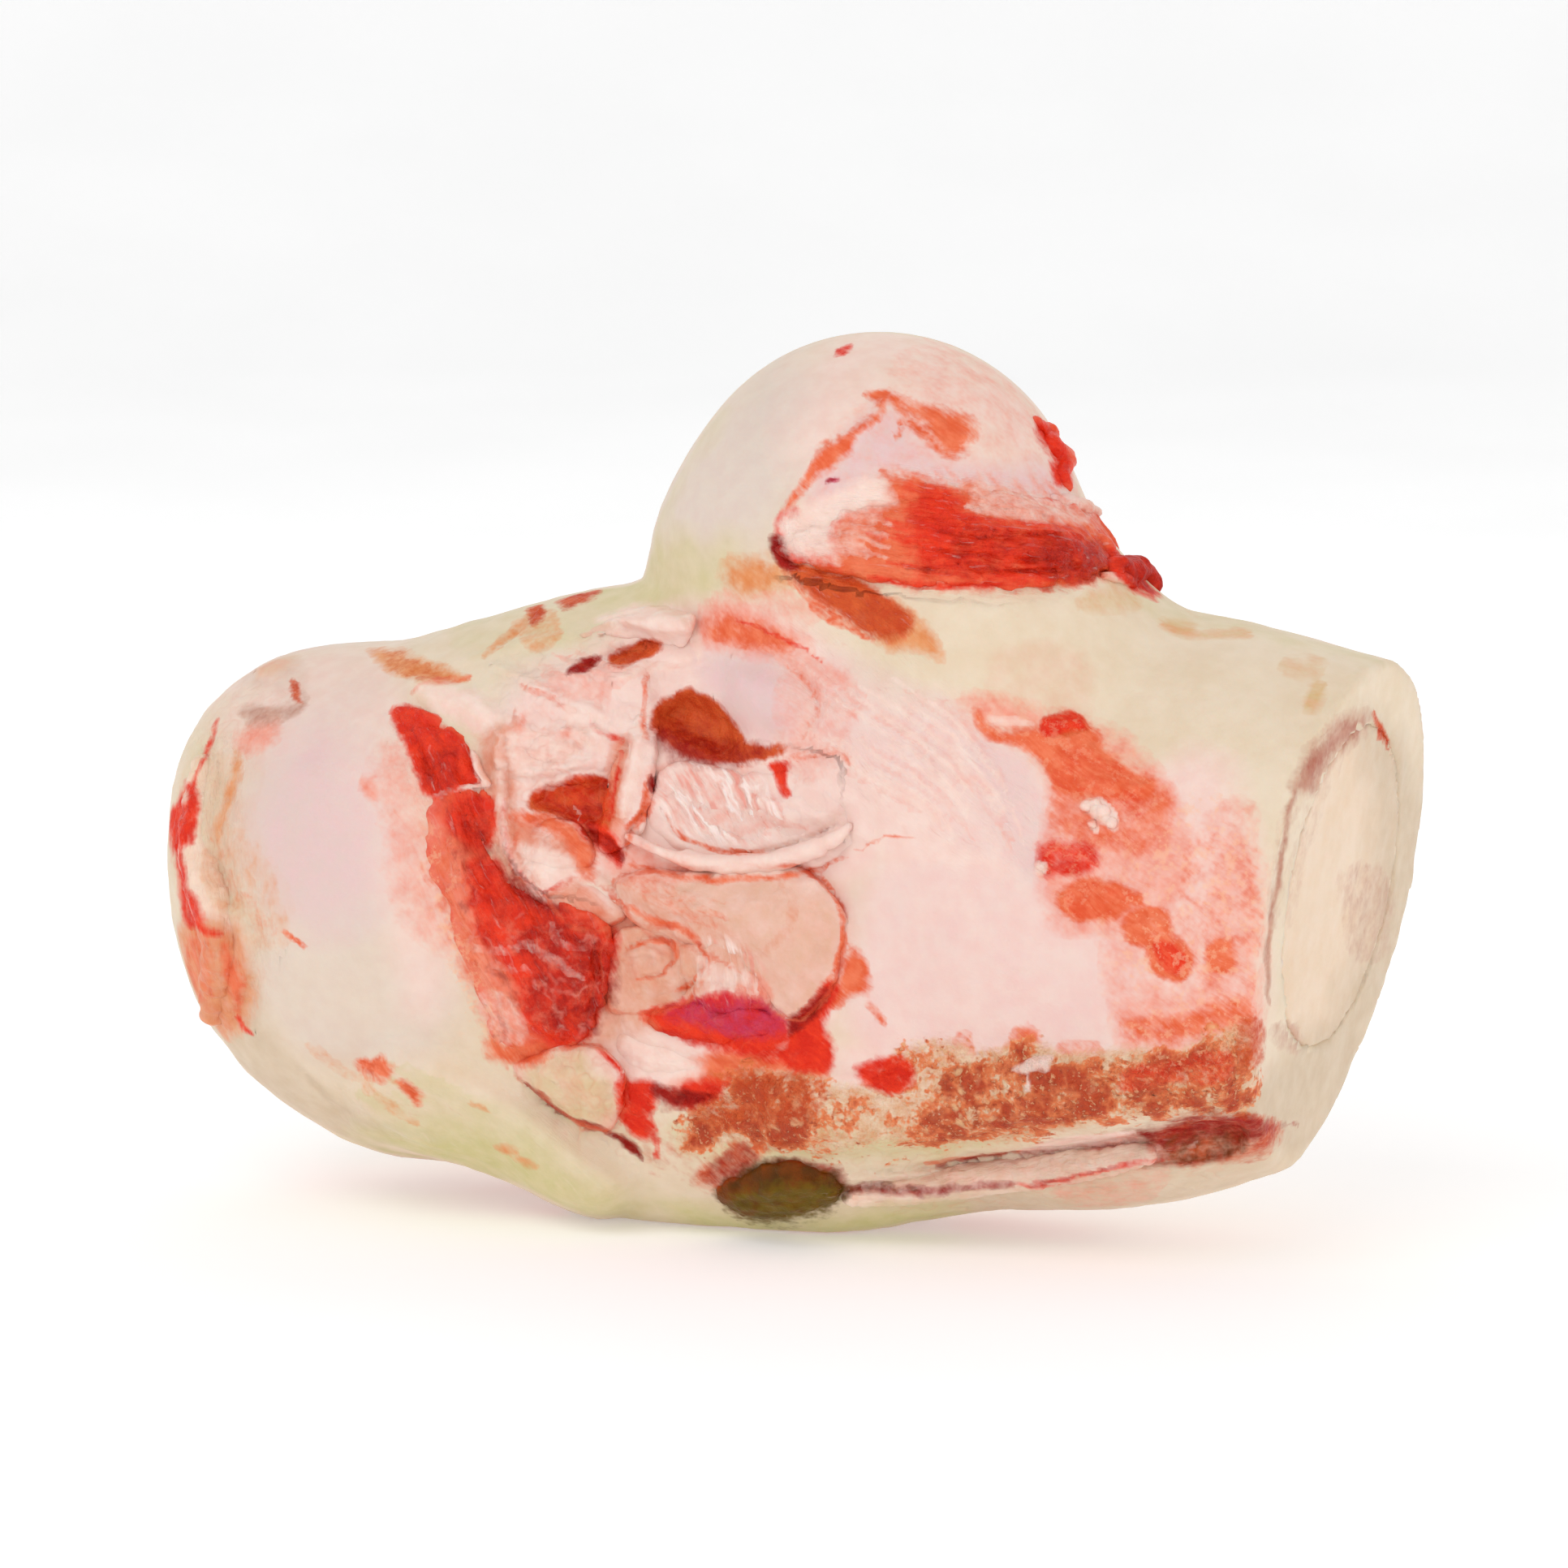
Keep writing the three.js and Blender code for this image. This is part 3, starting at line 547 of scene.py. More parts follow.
# Colour areas on the sheet, by layer: softness of the edge, strength, outline
AREAS = {
    "moss": [  # painted shade: greenish cream at the edges that turn away
        (5, 0.1, [(-22, 90), (-19, 100), (-12, 110), (-15, 110), (-24, 98)]),
        (5, 0.2, [(-26, 89), (-18, 92), (-8, 92), (-9, 89), (-14, 85), (-28, 85)]),
        (4, -0.2, [(-45, 83), (-36, 86), (-24, 88), (-20, 85), (-34, 80), (-44, 80)]),
        (5, 0.7, [(-60, 8), (-58, 12), (-40, 14), (-28, 7), (-20, 2), (-40, 2), (-50, 5)]),
        (2.5, 0.6, [(-54, 7), (-48, 9.5), (-36, 6), (-30, 3), (-42, 3)]),
        (3, -0.2, [(48, 88), (60, 84.5), (80, 80), (80, 77.6), (60, 81.6), (46, 85)]),
        (5, -0.5, [(-78, 66), (-74, 70), (-70, 60), (-71, 44), (-76, 46)]),
        (2, 0.9, [(-18, 3), (-8, 1.6), (2, 0.4), (14, 3), (24, 1.6), (14, -3), (-10, -3)]),
        (3, 0.3, [(-16, 13), (-8, 15), (4, 13), (20, 13), (34, 14), (20, 10), (4, 9), (-12, 10)]),
        (3, 0.1, [(-36, 21), (-28, 23), (-25, 18), (-27, 14), (-33, 16)]),
    ],
    "pearl": [  # greyer cartilage
        (8, 0.6, [(-19, 96), (-12, 110), (0, 118), (6, 112), (0, 100), (-6, 92), (-14, 90)]),
        (8, 0.6, [(-74, 62), (-68, 72), (-58, 72), (-55, 58), (-52, 40), (-60, 36), (-72, 44)]),
        (6, 0.2, [(-72, 36), (-56, 40), (-46, 30), (-52, 24), (-66, 24)]),
    ],
    "dusk": [  # painted shade: darker cream where the bone turns under
        (4, 0.2, [(-82, 40), (-76, 22), (-66, 12), (-54, 7), (-56, 13), (-68, 20), (-74, 32)]),
        (3.5, -0.1, [(12, 4.4), (30, 7), (46, 9.4), (62, 15), (70, 20), (69, 14), (64, 7), (48, 1),
            (20, -1)]),
        (4, 0.3, [(82, 66), (77.4, 70), (79, 56), (78, 40), (72, 24), (80, 30), (86, 50)]),
        (4, 0.3, [(60, 14), (66, 22), (74, 28), (78, 24), (70, 10)]),
        (1.2, 0.8, [(-75, 74), (-71, 77.4), (-67, 77), (-66, 72), (-70, 72)]),
    ],
    "blush": [  # pinkish white cartilage, membrane and fat
        (6, 0.2, [(-77, 72), (-66, 77), (-56, 77), (-53, 66), (-51, 56), (-47, 46), (-46, 36), (-50, 30),
            (-56, 44), (-66, 62), (-76, 66)]),
        (4, 1, [(2, 76), (14, 72), (24, 70), (33, 64), (38, 58), (46, 60), (54, 64), (60, 60), (60, 18),
            (46, 20), (20, 19), (8, 22), (8, 40), (10, 52), (4, 62)]),
        (6, 0.4, [(0, 108), (6, 120), (18, 121), (30, 114), (37, 102), (34, 98), (14, 100), (4, 98)]),
        (3, 1, [(-41, 56), (-40, 72), (-30, 77), (-14, 84), (-2, 84), (6, 78), (12, 64), (12, 48), (8, 46),
            (-24, 46), (-34, 44)]),
        (2, 1, [(-27, 45), (6, 47), (9, 40), (6, 28), (-8, 22), (-20, 17), (-26, 20), (-28, 30)]),
        (3, 0.7, [(5, 24), (16, 27), (30, 26), (30, 20), (14, 16), (6, 18)]),
    ],
    "lilac": [  # cool pink on the domes and the pads
        (7, 0.4, [(-72, 60), (-66, 66), (-60, 62), (-56, 50), (-60, 43), (-68, 42), (-73, 50)]),
        (3, 1, [(-12, 76.6), (-4, 77.6), (0, 70), (-3, 66), (-8, 69)]),
        (4, -0.4, [(6, 76), (22, 68), (32, 60), (36, 54), (28, 52), (14, 62), (4, 70)]),
        (6, -0.35, [(10, 44), (30, 44), (44, 34), (44, 27), (16, 25), (8, 34)]),
        (3, 0, [(24, 66), (31, 62), (34, 54), (33, 46), (30, 50), (26, 58)]),
        (3, 1, [(2, 99), (6, 105), (13, 111), (18, 106), (24, 103), (36, 102), (37, 98), (24, 100),
            (12, 101), (6, 97)]),
    ],
    "peach": [  # fat and ligament
        (4, 0.3, [(-24, 46), (-12, 47), (0, 47), (6, 42), (5, 34), (0, 28), (-8, 34), (-20, 40)]),
        (3, -0.6, [(-77, 66), (-74, 66), (-74.6, 54), (-70, 44), (-71, 40), (-77, 41), (-79, 54)]),
        (3, -0.7, [(-36, 21), (-27, 24), (-23, 20), (-25, 13), (-32, 15)]),
        (3, 0.6, [(-27, 42), (-16, 40), (-12, 35), (-15, 29), (-22, 26), (-27, 24)]),
        (2, 1, [(-82, 42), (-75, 40), (-74, 28), (-80, 26), (-83, 32)]),
        (3, 0.6, [(-41, 68), (-38, 66), (-39, 54), (-36, 47), (-38, 46), (-41, 52)]),
        (4, -0.3, [(28, 76), (38, 76), (38, 70), (30, 70)]),
        (8, -0.75, [(2, 118), (14, 119), (26, 115), (35, 106), (34, 101), (26, 108), (14, 113), (6, 112)]),
    ],
    "salmon": [  # darker fat at the folds
        (2.5, -0.3, [(-25, 39.6), (-16, 40.4), (-12, 36), (-15, 31), (-24, 28.8), (-27, 34)]),
        (1.2, 0.8, [(-26, 54), (-25.6, 60), (-23.6, 66), (-22, 66), (-22.6, 60), (-24, 53)]),
        (1.5, 0.8, [(-39, 54), (-36.4, 55), (-33.4, 51), (-34, 47), (-38.6, 48)]),
        (1.5, 0.5, [(-33, 53), (-29, 53.4), (-27, 49.6), (-30, 48), (-33, 49)]),
        (1.5, 0.6, [(-33, 45), (-29, 46), (-25, 42), (-28, 41)]),
        (2, 0.1, [(-41, 67), (-38.6, 66), (-38.6, 54), (-36.4, 46.6), (-38.6, 46), (-41, 53)]),
        (2.5, -0.7, [(-28, 30), (-24, 28), (-22, 20), (-26, 16), (-34, 18), (-30, 24)]),
        (3, -0.4, [(-22, 44), (-14, 41), (-8, 37), (-6, 33), (-12, 30), (-24, 28)]),
        (2, 0.1, [(-83, 40), (-77, 39), (-75, 32), (-77, 26), (-83, 30)]),
    ],
    "rose": [  # pink where blood shows through
        (2, 0.9, [(-48.5, 50), (-46, 43), (-45, 36), (-42, 30), (-40, 25.6), (-35.6, 26), (-37, 32),
            (-41, 38), (-43, 46), (-46, 50)]),
        (4, -0.1, [(-55, 64), (-52, 62), (-49.6, 56), (-46.6, 46), (-45, 38), (-51, 42), (-54, 54)]),
        (1, 0.5, [(-58.6, 60.6), (-57, 60), (-57, 58), (-58.4, 58.4)]),
        (1, 0.3, [(-55, 54), (-53.6, 53.6), (-54, 52)]),
        (2, 0, [(-27, 58), (-22, 52), (-14, 48), (-20, 46), (-26, 50)]),
        (2, 0.6, [(-14, 80), (-10, 85), (-4, 83), (2, 78.6), (-4, 77), (-10, 78.6)]),
        (1.5, -0.2, [(-5, 85), (2, 84.6), (3, 82.4), (-3, 82)]),
        (3, -0.3, [(0, 74), (6, 74), (6, 66), (2, 62), (-1, 66)]),
        (2, -0.7, [(-38, 68), (-27, 70), (-23, 67), (-27, 62), (-36, 62)]),
        (2, -0.5, [(-20, 60), (-12, 63), (-6, 60), (-8, 56), (-16, 56)]),
        (2.5, 0.3, [(23, 71), (34, 69.6), (43, 66.6), (50, 60), (54, 50), (50, 42), (44, 40), (35, 41),
            (34, 50), (35, 60), (30, 66)]),
        (3, -0.1, [(44, 40), (52, 50), (60, 56), (60, 20), (46, 24), (44, 30)]),
        (2, 0.2, [(57, 50), (60.5, 54), (60.5, 24), (44, 25), (44, 30), (55, 32), (56, 42)]),
        (2, -0.9, [(0, 97), (8, 97), (12, 92), (6, 91), (0, 94)]),
        (4, -0.55, [(4, 100), (12, 110), (20, 110), (28, 104), (36, 102), (36, 99), (16, 101)]),
        (3, -0.4, [(14, 116), (22, 118), (30, 112), (33, 107), (26, 110)]),
        (1.5, 0.8, [(-9, 24), (-3, 22), (-10, 19), (-17, 19), (-14, 22)]),
        (1, 0.8, [(-7.4, 33), (-5, 34), (-3, 31), (-5, 29.6), (-8, 30.4)]),
        (2, -0.3, [(36, 5), (44, 6.2), (50, 7.6), (48, 4.6), (40, 3)]),
        (1.5, 0.6, [(-75.6, 66), (-71, 68.4), (-70, 66.6), (-74, 64.4)]),
        (1.2, 0.8, [(35, 60), (51, 60), (52, 53), (49, 49.6), (43, 50), (36, 54)]),
        (2, -0.2, [(57, 55), (60, 57.4), (62.4, 56), (61.6, 52), (59.4, 49), (57.6, 52)]),
    ],
    "tan": [  # dry orange brown marks
        (2, 0.9, [(-9, 89.6), (-2, 89.6), (0, 87), (-3, 86), (-8, 86)]),
        (2, 0, [(-83, 40), (-77.6, 40), (-75, 36), (-74, 29), (-76, 26), (-80, 27), (-83, 33)]),
        (2.5, -0.5, [(-78, 52), (-75, 52), (-71, 43), (-70, 39), (-74, 40), (-78, 46)]),
        (1, 1, [(-57.5, 78), (-54, 78), (-49.6, 76.8), (-44.4, 74.4), (-48, 73.6), (-51, 74), (-54.6, 75)]),
        (1, 0, [(-38, 81), (-33, 83), (-32, 79.6), (-35, 78)]),
        (1.2, 0.7, [(13, 84.6), (18, 81), (20.4, 76.8), (16.6, 78), (11, 79.4)]),
        (1.5, 0.3, [(6, 90), (10, 92), (12, 88.6), (9, 88)]),
    ],
    "dun": [  # greyish brown marks
        (2.5, -0.3, [(76, 48), (79, 47), (79.4, 38), (76.6, 37)]),
        (1.5, -0.1, [(66, 27), (69, 25.4), (68, 23.6), (66, 25)]),
        (1.8, 1, [(68, 59), (70.6, 65), (74, 68.4), (77.6, 69.4), (77, 67), (73, 63.6), (70, 58.6)]),
        (1.2, 0.1, [(-75, 69.8), (-69, 70.2), (-66, 72), (-68, 69), (-74, 68.2)]),
    ],
    "orange": [  # thin meat and blood
        (3, 0.2, [(-49, 50), (-46, 43), (-44, 36), (-42, 30), (-40, 24), (-34, 24), (-36, 32), (-40, 38),
            (-43, 46), (-46, 52)]),
        (1.5, 0.7, [(-12, 80.6), (-9.4, 82.6), (-5, 81.4), (0, 78.8), (-4, 78.2), (-9, 79.4)]),
        (1.5, 0.8, [(-12, 22.4), (-4, 23.6), (4, 22), (4, 19.6), (-4, 19.2), (-11, 19.8)]),
        (1.4, 0.9, [(12, 112.6), (15, 111.6), (20, 110.8), (23.6, 109.6), (24.4, 107), (22.6, 104.4),
            (19.8, 105.8), (17, 108.6), (14, 111)]),
        (1, 1, [(3.4, 102), (3.4, 105), (5, 106.6), (8.4, 107), (8, 105), (6, 103.4)]),
        (1.4, 0, [(-81.4, 39.6), (-79.6, 39), (-79, 34), (-80, 31), (-82, 34)]),
        (1, 1, [(-59.4, 22), (-57, 22.8), (-54, 21), (-54.6, 19.4), (-57.6, 20)]),
        (0.9, 0.9, [(-53.4, 19.2), (-51.6, 19), (-50, 17), (-51, 16.2)]),
        (1.5, 0.8, [(-39, 55.6), (-34, 56), (-29, 53.4), (-26.6, 50.4), (-27, 47), (-29.4, 47.6), (-30, 51),
            (-34, 53.4)]),
        (1.5, 0.9, [(-41.6, 26), (-38, 25.4), (-34, 24.4), (-34, 22.4), (-38.6, 21.8), (-41.6, 23.4)]),
        (2, 0.9, [(13, 101), (20, 101), (28, 98.6), (40, 97), (42.6, 94), (42.8, 88.6), (34, 86.8),
            (22, 86.6), (12, 87.4), (6, 89.6), (5, 93), (7, 96.6), (11, 98)]),
        (1, 0.9, [(24, 70.4), (28, 67.4), (33, 67.6), (37, 69.6), (40, 68.4), (42, 65.4), (46, 61.6),
            (49.6, 60), (49, 57.4), (44, 57), (40, 58), (36, 58), (34.4, 61.6), (30, 65), (26, 66.4)]),
        (1.4, 0, [(36, 59), (50, 59), (50.4, 54), (48, 51), (44, 51), (40, 52.6), (35, 55)]),
        (1.5, -0.8, [(58, 56), (61, 56.4), (61.4, 53.4), (59, 52.6)]),
        (0.8, 0.9, [(35.6, 45), (40, 46.8), (44.6, 46.6), (47.4, 44), (44, 42), (38, 41), (35.4, 42.6)]),
        (0.8, 0.9, [(44.4, 40.4), (46, 42.8), (49, 43), (51, 41), (50.6, 38.6), (48, 37.6), (45.4, 38.2)]),
        (0.8, 1, [(47.4, 38), (50, 39.8), (53, 38.4), (54.2, 35.6), (52.6, 33), (49.4, 33.6), (47.4, 36)]),
        (0.8, 0.8, [(55.8, 37.6), (57.6, 39.6), (60, 38.4), (60, 34.6), (57, 34.4)]),
        (2, -0.6, [(54, 50), (60.5, 54), (60.5, 30), (55, 34)]),
        (1.4, 0.4, [(44, 27), (52, 28.4), (61, 30.4), (61, 27), (52, 25.4), (45, 25.6)]),
        (1, 0.9, [(6.6, 34), (8, 37.6), (9.6, 36), (10.4, 32), (8, 31), (6.6, 29.6), (4, 29.4)]),
        (1, 0.5, [(9.6, 30), (11.6, 28.4), (12, 27)]),
        (1.2, 0.1, [(20.6, 20), (21.6, 24), (23, 26), (24.4, 23.4), (24.4, 20)]),
        (1, 0.7, [(27.4, 22.4), (28.4, 25), (31.6, 26.8), (33, 25.6), (32.4, 22.6), (30, 21.6)]),
        (1.4, 0, [(35, 20), (36, 24), (39, 24.8), (42, 23), (42, 20)]),
        (1, 0.6, [(39, 16.4), (39.6, 20), (43, 20.4), (43.6, 17.6), (41.6, 15.6)]),
        (1, 0.4, [(-21, 28), (-18, 29.4), (-14, 29), (-16, 27), (-19, 26.6)]),
    ],
    "rust": [  # rust brown meat
        (0.8, -0.4, [(-59, 21.6), (-57, 22.4), (-54.6, 21), (-55, 19.8), (-57.6, 20.4)]),
        (0.7, -0.3, [(-53, 18.8), (-51.6, 18.6), (-50.4, 17), (-51.4, 16.6)]),
        (1, -0.3, [(-55.5, 77.6), (-52, 77), (-48, 75), (-51, 74.4), (-54, 75.4)]),
        (1, 1, [(-1.6, 89.9), (3, 89.5), (8.4, 87.9), (13, 85), (15.8, 82.4), (16.4, 80.6), (13, 79.6),
            (9, 80), (6, 82.6), (2.4, 85.6), (-0.6, 88)]),
        (0.7, 1, [(-25.3, 76.6), (-22, 78.8), (-18, 79.6), (-17.6, 78.4), (-21.4, 76)]),
        (0.7, 1, [(-19.6, 69.4), (-17.4, 71.6), (-14, 73), (-10.6, 71.4), (-8.8, 69), (-6.4, 66.2),
            (-3.8, 65.2), (-1, 65), (-2.4, 63.8), (-7.8, 62.7), (-12, 62.7), (-15.4, 64), (-18.8, 66.4)]),
        (1.2, 0.8, [(34.2, 93.6), (39, 94.2), (42.6, 91.6), (42.6, 88.6), (38, 86.8), (34, 86.4),
            (33.4, 90)]),
        (0.8, 1, [(-36, 83.6), (-34, 84.8), (-34, 82.4), (-35.5, 81)]),
        (0.8, 1, [(-32, 84), (-27, 87.4), (-26, 86.4), (-31, 83.4)]),
        (1, 0.2, [(61, 28), (63.6, 27), (63.6, 22), (61, 21)]),
        (0.8, 1, [(-36.4, 57.6), (-35, 59.6), (-32, 60.6), (-26, 61.2), (-24.8, 58), (-24.8, 54),
            (-26.6, 52.6), (-29.4, 54.2), (-33, 55.4)]),
        (1.5, 0, [(-12, 20), (-4, 20.6), (4, 19), (2, 15), (-8, 13.6), (-14, 15)]),
        (0.8, 0.5, [(33.4, 68.6), (36, 69.8), (38.6, 69.4), (39.8, 67.4), (36, 66.6)]),
        (1, 0.4, [(34, 88), (40, 88.4), (42.6, 90.4), (41, 93), (36, 93.4), (33, 91)]),
        (1.5, -0.5, [(-20, 11), (-14, 12.6), (-2, 11.4), (-10, 8), (-18, 7)]),
        (2.4, 0.2, [(-12.6, 6.6), (-9, 10.4), (-4, 10.6), (-5.6, 8.4), (-9.4, 5.8)]),
        (1.6, 0.2, [(48, 11.4), (52, 13.6), (58, 14.6), (66, 13.4), (64, 10), (57, 8.4), (50, 9)]),
    ],
    "red": [  # red meat
        (2.6, 0.6, [(16.6, 100), (21, 99.6), (24, 97), (30, 95), (38, 94.6), (42, 92), (41, 88.4),
            (33, 87.4), (20, 88), (16, 90), (15.4, 95)]),
        (0.7, 1, [(-2, 97), (0.6, 97.8), (1.2, 95.6), (-0.6, 93), (-2.6, 91.6), (-2.6, 94)]),
        (0.8, 1, [(-54.4, 70.6), (-49.4, 68.8), (-45, 65.6), (-43, 61.6), (-42.6, 60), (-45, 59.4),
            (-46.6, 58.6), (-49.4, 57.4), (-51.8, 62), (-54, 67)]),
        (0.9, 1, [(-44.8, 58.2), (-41, 58), (-40.6, 51.4), (-43, 50.6), (-45.6, 52), (-47.6, 54),
            (-46.4, 57)]),
        (1.2, 0.8, [(-44.6, 48.4), (-40.6, 49.4), (-37.6, 45.2), (-33.6, 44), (-29.6, 41.8), (-24.2, 39.8),
            (-23.8, 36.4), (-25.4, 31), (-27.4, 26.4), (-30, 24.4), (-34, 25.4), (-36.6, 28), (-37.6, 32),
            (-40, 36), (-42.6, 40), (-44, 44)]),
        (1, 1, [(-10, 25), (-2, 24.6), (0, 27.6), (3, 31), (5.4, 33.4), (6.6, 32), (4.4, 28), (5.6, 24),
            (5.4, 21), (1, 20.4), (-3, 22.6), (-8, 23)]),
        (1, 1, [(-21, 28.4), (-14, 30.6), (-8, 31.2), (-2, 28.6), (-0.4, 25.6), (-4, 23), (-9, 23.2),
            (-13, 24.6), (-18, 26.4)]),
        (0.6, 1, [(-3.6, 62.4), (-1, 63.2), (-0.6, 60), (0, 58.8), (-1.6, 58.2), (-2.4, 60.6)]),
        (0.8, 0.8, [(-24.6, 19.6), (-21, 20), (-18.6, 18.6), (-18.6, 15), (-19.6, 12), (-22.4, 13),
            (-24, 16)]),
        (0.8, 0.6, [(33.4, 68.4), (36, 69.8), (38.6, 69.4), (39.8, 67.6), (37, 67.2), (34, 66.8)]),
        (1, -0.4, [(36, 64), (41, 64), (46, 60), (48, 56), (45, 55), (40, 59), (36, 60)]),
        (1.2, 0.5, [(33.4, 51.4), (36, 52.2), (40.4, 51.6), (41.4, 48.6), (38, 47.2), (33.6, 48)]),
        (1, -0.4, [(37, 45.4), (42, 46), (46, 44.6), (43, 43), (38, 42)]),
        (0.8, 0.4, [(48.4, 38), (51, 38.6), (53.2, 36.4), (52, 34.2), (49.6, 35)]),
        (1, 0.8, [(8.4, 21.4), (12, 22.8), (15.4, 22.4), (16, 19), (13, 17.6), (9, 19.4)]),
        (1.2, 0, [(45, 20.6), (50, 22), (59, 23), (59, 20.6), (50, 19), (45, 18.6)]),
        (0.9, 0.8, [(-84.8, 56), (-83, 58), (-81.4, 60.4), (-81.2, 56), (-82, 52), (-83.6, 50.4),
            (-84.8, 53)]),
        (0.8, 1, [(33, 109), (36, 107), (37.5, 103), (37.6, 100), (36, 100.5), (35, 104), (33, 107)]),
        (0.5, 0.5, [(5.4, 118.4), (8, 119.4), (8, 118.8), (6, 117.8)]),
        (1, 0.8, [(-16, 18.8), (-9, 19.4), (-11, 16.8), (-17, 16.6)]),
        (2, 1, [(17, 99), (21, 99), (24, 96), (24, 92), (20, 89), (17, 92)]),
        (0.8, 0.8, [(41, 91), (46, 91.6), (50, 88), (50, 85), (46, 86)]),
        (0.8, 1, [(-30, 55), (-26.4, 54.6), (-23, 50.8), (-23.4, 48.8), (-25.8, 50.6), (-28.4, 52.6)]),
        (1.5, 0, [(-35, 58.4), (-31, 60.2), (-26, 60.6), (-25.4, 56), (-27, 54), (-31, 56)]),
        (0.9, 0.5, [(-83.2, 46.6), (-81, 44.6), (-80, 40.4), (-82.6, 41)]),
    ],
    "plum": [  # the purple slip
        (1.8, 0.4, [(-17, 28.8), (-11, 30.8), (-6, 30.8), (-1.6, 28.2), (-1.2, 26.4), (-6, 25.8),
            (-12, 26.8)]),
    ],
    "crimson": [  # dark red meat
        (1, -0.6, [(69, 61), (71, 65.4), (74, 67.8), (76, 67.4), (73, 64.6), (70.4, 61)]),
        (1.5, -0.3, [(23, 93.4), (28, 93.6), (34, 92.6), (35, 90), (28, 89.2), (21, 89)]),
        (1.5, 0.1, [(34, 92), (40, 92.6), (42.8, 90.8), (42.2, 88.6), (38, 87.6), (34, 88.6)]),
        (1, 0.1, [(44, 90.6), (47, 91.2), (49.8, 88.4), (49.6, 86), (46, 87.2)]),
        (0.6, 1, [(-3.2, 93.4), (-1, 93.6), (-0.4, 91.4), (0.8, 88.8), (-0.6, 88.6), (-3.2, 91.4)]),
        (2.5, 0.1, [(-35, 40.6), (-30, 41), (-25.6, 38), (-25, 31), (-28, 27), (-33, 27.6), (-35, 31),
            (-34, 35), (-37, 38)]),
        (1.5, 0.3, [(-39, 47.6), (-34, 44.6), (-31, 42.6), (-36, 43)]),
        (2, -0.2, [(-50, 63), (-46, 64), (-46.6, 59), (-49, 59)]),
        (1.5, 0, [(-45, 54), (-42, 55), (-41.6, 50), (-44.6, 50)]),
        (0.6, 0.3, [(-29, 54.4), (-26, 53.4), (-23, 50.4), (-23.6, 49.6), (-26, 51.2), (-28.4, 53)]),
        # dark red along the cavity's top edge, partly painted shadow
        (1, -0.4, [(-35.6, 58), (-32, 60.4), (-26, 61), (-25.4, 59.6), (-30, 59.4), (-34, 57.4)]),
        (0.8, -0.1, [(-33.6, 56.6), (-29, 57), (-26, 56), (-28, 54.4), (-31.6, 55)]),
        (0.4, 0.8, [(-19.2, 61.6), (-18.4, 60), (-19, 58.4), (-19.5, 60)]),
        (0.8, 0.8, [(-1, 27.6), (2, 30), (4.6, 32), (3.4, 28.4), (0.6, 26), (-0.6, 25.6)]),
        (0.8, 1, [(-19.4, 18.6), (-15, 18.4), (-10.6, 17.6), (-13, 16.4), (-18, 16.2)]),
        (0.6, 1, [(-25, 12.6), (-22, 12), (-20.4, 9.4), (-22.6, 10.2)]),
        (1.4, 0.5, [(45, 12.4), (50, 13.4), (55, 15.2), (60, 15), (65, 13.4), (63, 11.4), (57, 11.6),
            (51, 10.8)]),
        (0.5, 1, [(-31, 74.4), (-29, 76.8), (-26, 77.4), (-27.4, 75.4), (-29, 74.6)]),
        (2, 0.3, [(-19, 67.6), (-14, 67), (-9, 65), (-4, 64.6), (-8, 62.6), (-13, 62.6), (-18, 65)]),
        (1, 0.3, [(-3, 8.4), (1, 8.8), (5.6, 7.8), (6.6, 5.8), (2, 6.2), (-2, 6.6)]),
        (1.2, 0, [(-11.6, 6.6), (-8.6, 10), (-5, 10.2), (-5.6, 8.4), (-9.4, 5.8)]),
        (1, -0.3, [(2, 7.6), (6, 6.6), (7, 4.4), (3, 5)]),
    ],
    "umber": [  # the gland
        (1.2, 1, [(-10.5, 4.4), (-4, 8.6), (5, 7.4), (7, 4.4), (0, 1.2), (-7, 1.4)]),
        (1.4, -0.15, [(51, 11.6), (56, 12.8), (61, 12.2), (60, 9.8), (55, 9), (51, 9.8)]),
    ],
    "olive": [
        (1.8, 0.4, [(-8.6, 3.4), (-3, 5.2), (2, 5.6), (6, 4.4), (3, 1.4), (-4, 0.8)]),
    ],
    "fleck": [  # pale fat on the meat
        (1.5, 1, [(-2, 96), (4, 99), (11, 100.6), (13.6, 98), (7, 96.6), (4.6, 93.4), (6, 90.6), (2, 90.4),
            (-1, 92)]),
        (1.2, -0.1, [(24, 99.6), (32, 98.4), (40, 97), (40, 95.8), (32, 96), (25, 97.4)]),
        (0.5, 1, [(38.6, 57), (41.4, 58), (42.6, 57), (44.2, 54.8), (43.4, 53.4), (41.8, 54.4),
            (40.6, 55.4)]),
        (0.5, 1, [(39.8, 54.8), (41, 54.4), (40.6, 53.4)]),
        (0.6, 0.1, [(26.4, 69.2), (29, 69), (32.4, 68), (30, 67.8), (28, 68.4)]),
        (1.5, -0.3, [(10, 5.6), (28, 8), (46, 11), (50, 9.6), (30, 6), (12, 4.6)]),
        (0.5, 1, [(32.8, 49.4), (34.4, 49.2), (34.2, 47.8), (33, 47.8)]),
        (1.5, -0.2, [(-42.4, 30), (-40, 31), (-37, 28), (-37, 25.6), (-40, 26)]),
        (1.5, 0.7, [(-22, 24.8), (-18.6, 24.8), (-14.4, 23), (-12, 21.2), (-16, 19.8), (-21.6, 20.4)]),
        (1, 0.7, [(-37, 52), (-33.4, 50.6), (-30.6, 50), (-30, 47.6), (-33.6, 46.6), (-36.4, 48.4)]),
        (1, 0.6, [(-27, 82), (-21, 83.8), (-14.6, 83), (-14, 80), (-18, 79.4), (-22, 80.6)]),
        (1.5, 0.3, [(-38.6, 66), (-37, 60), (-31, 61), (-29.6, 64.6), (-34, 66.6)]),
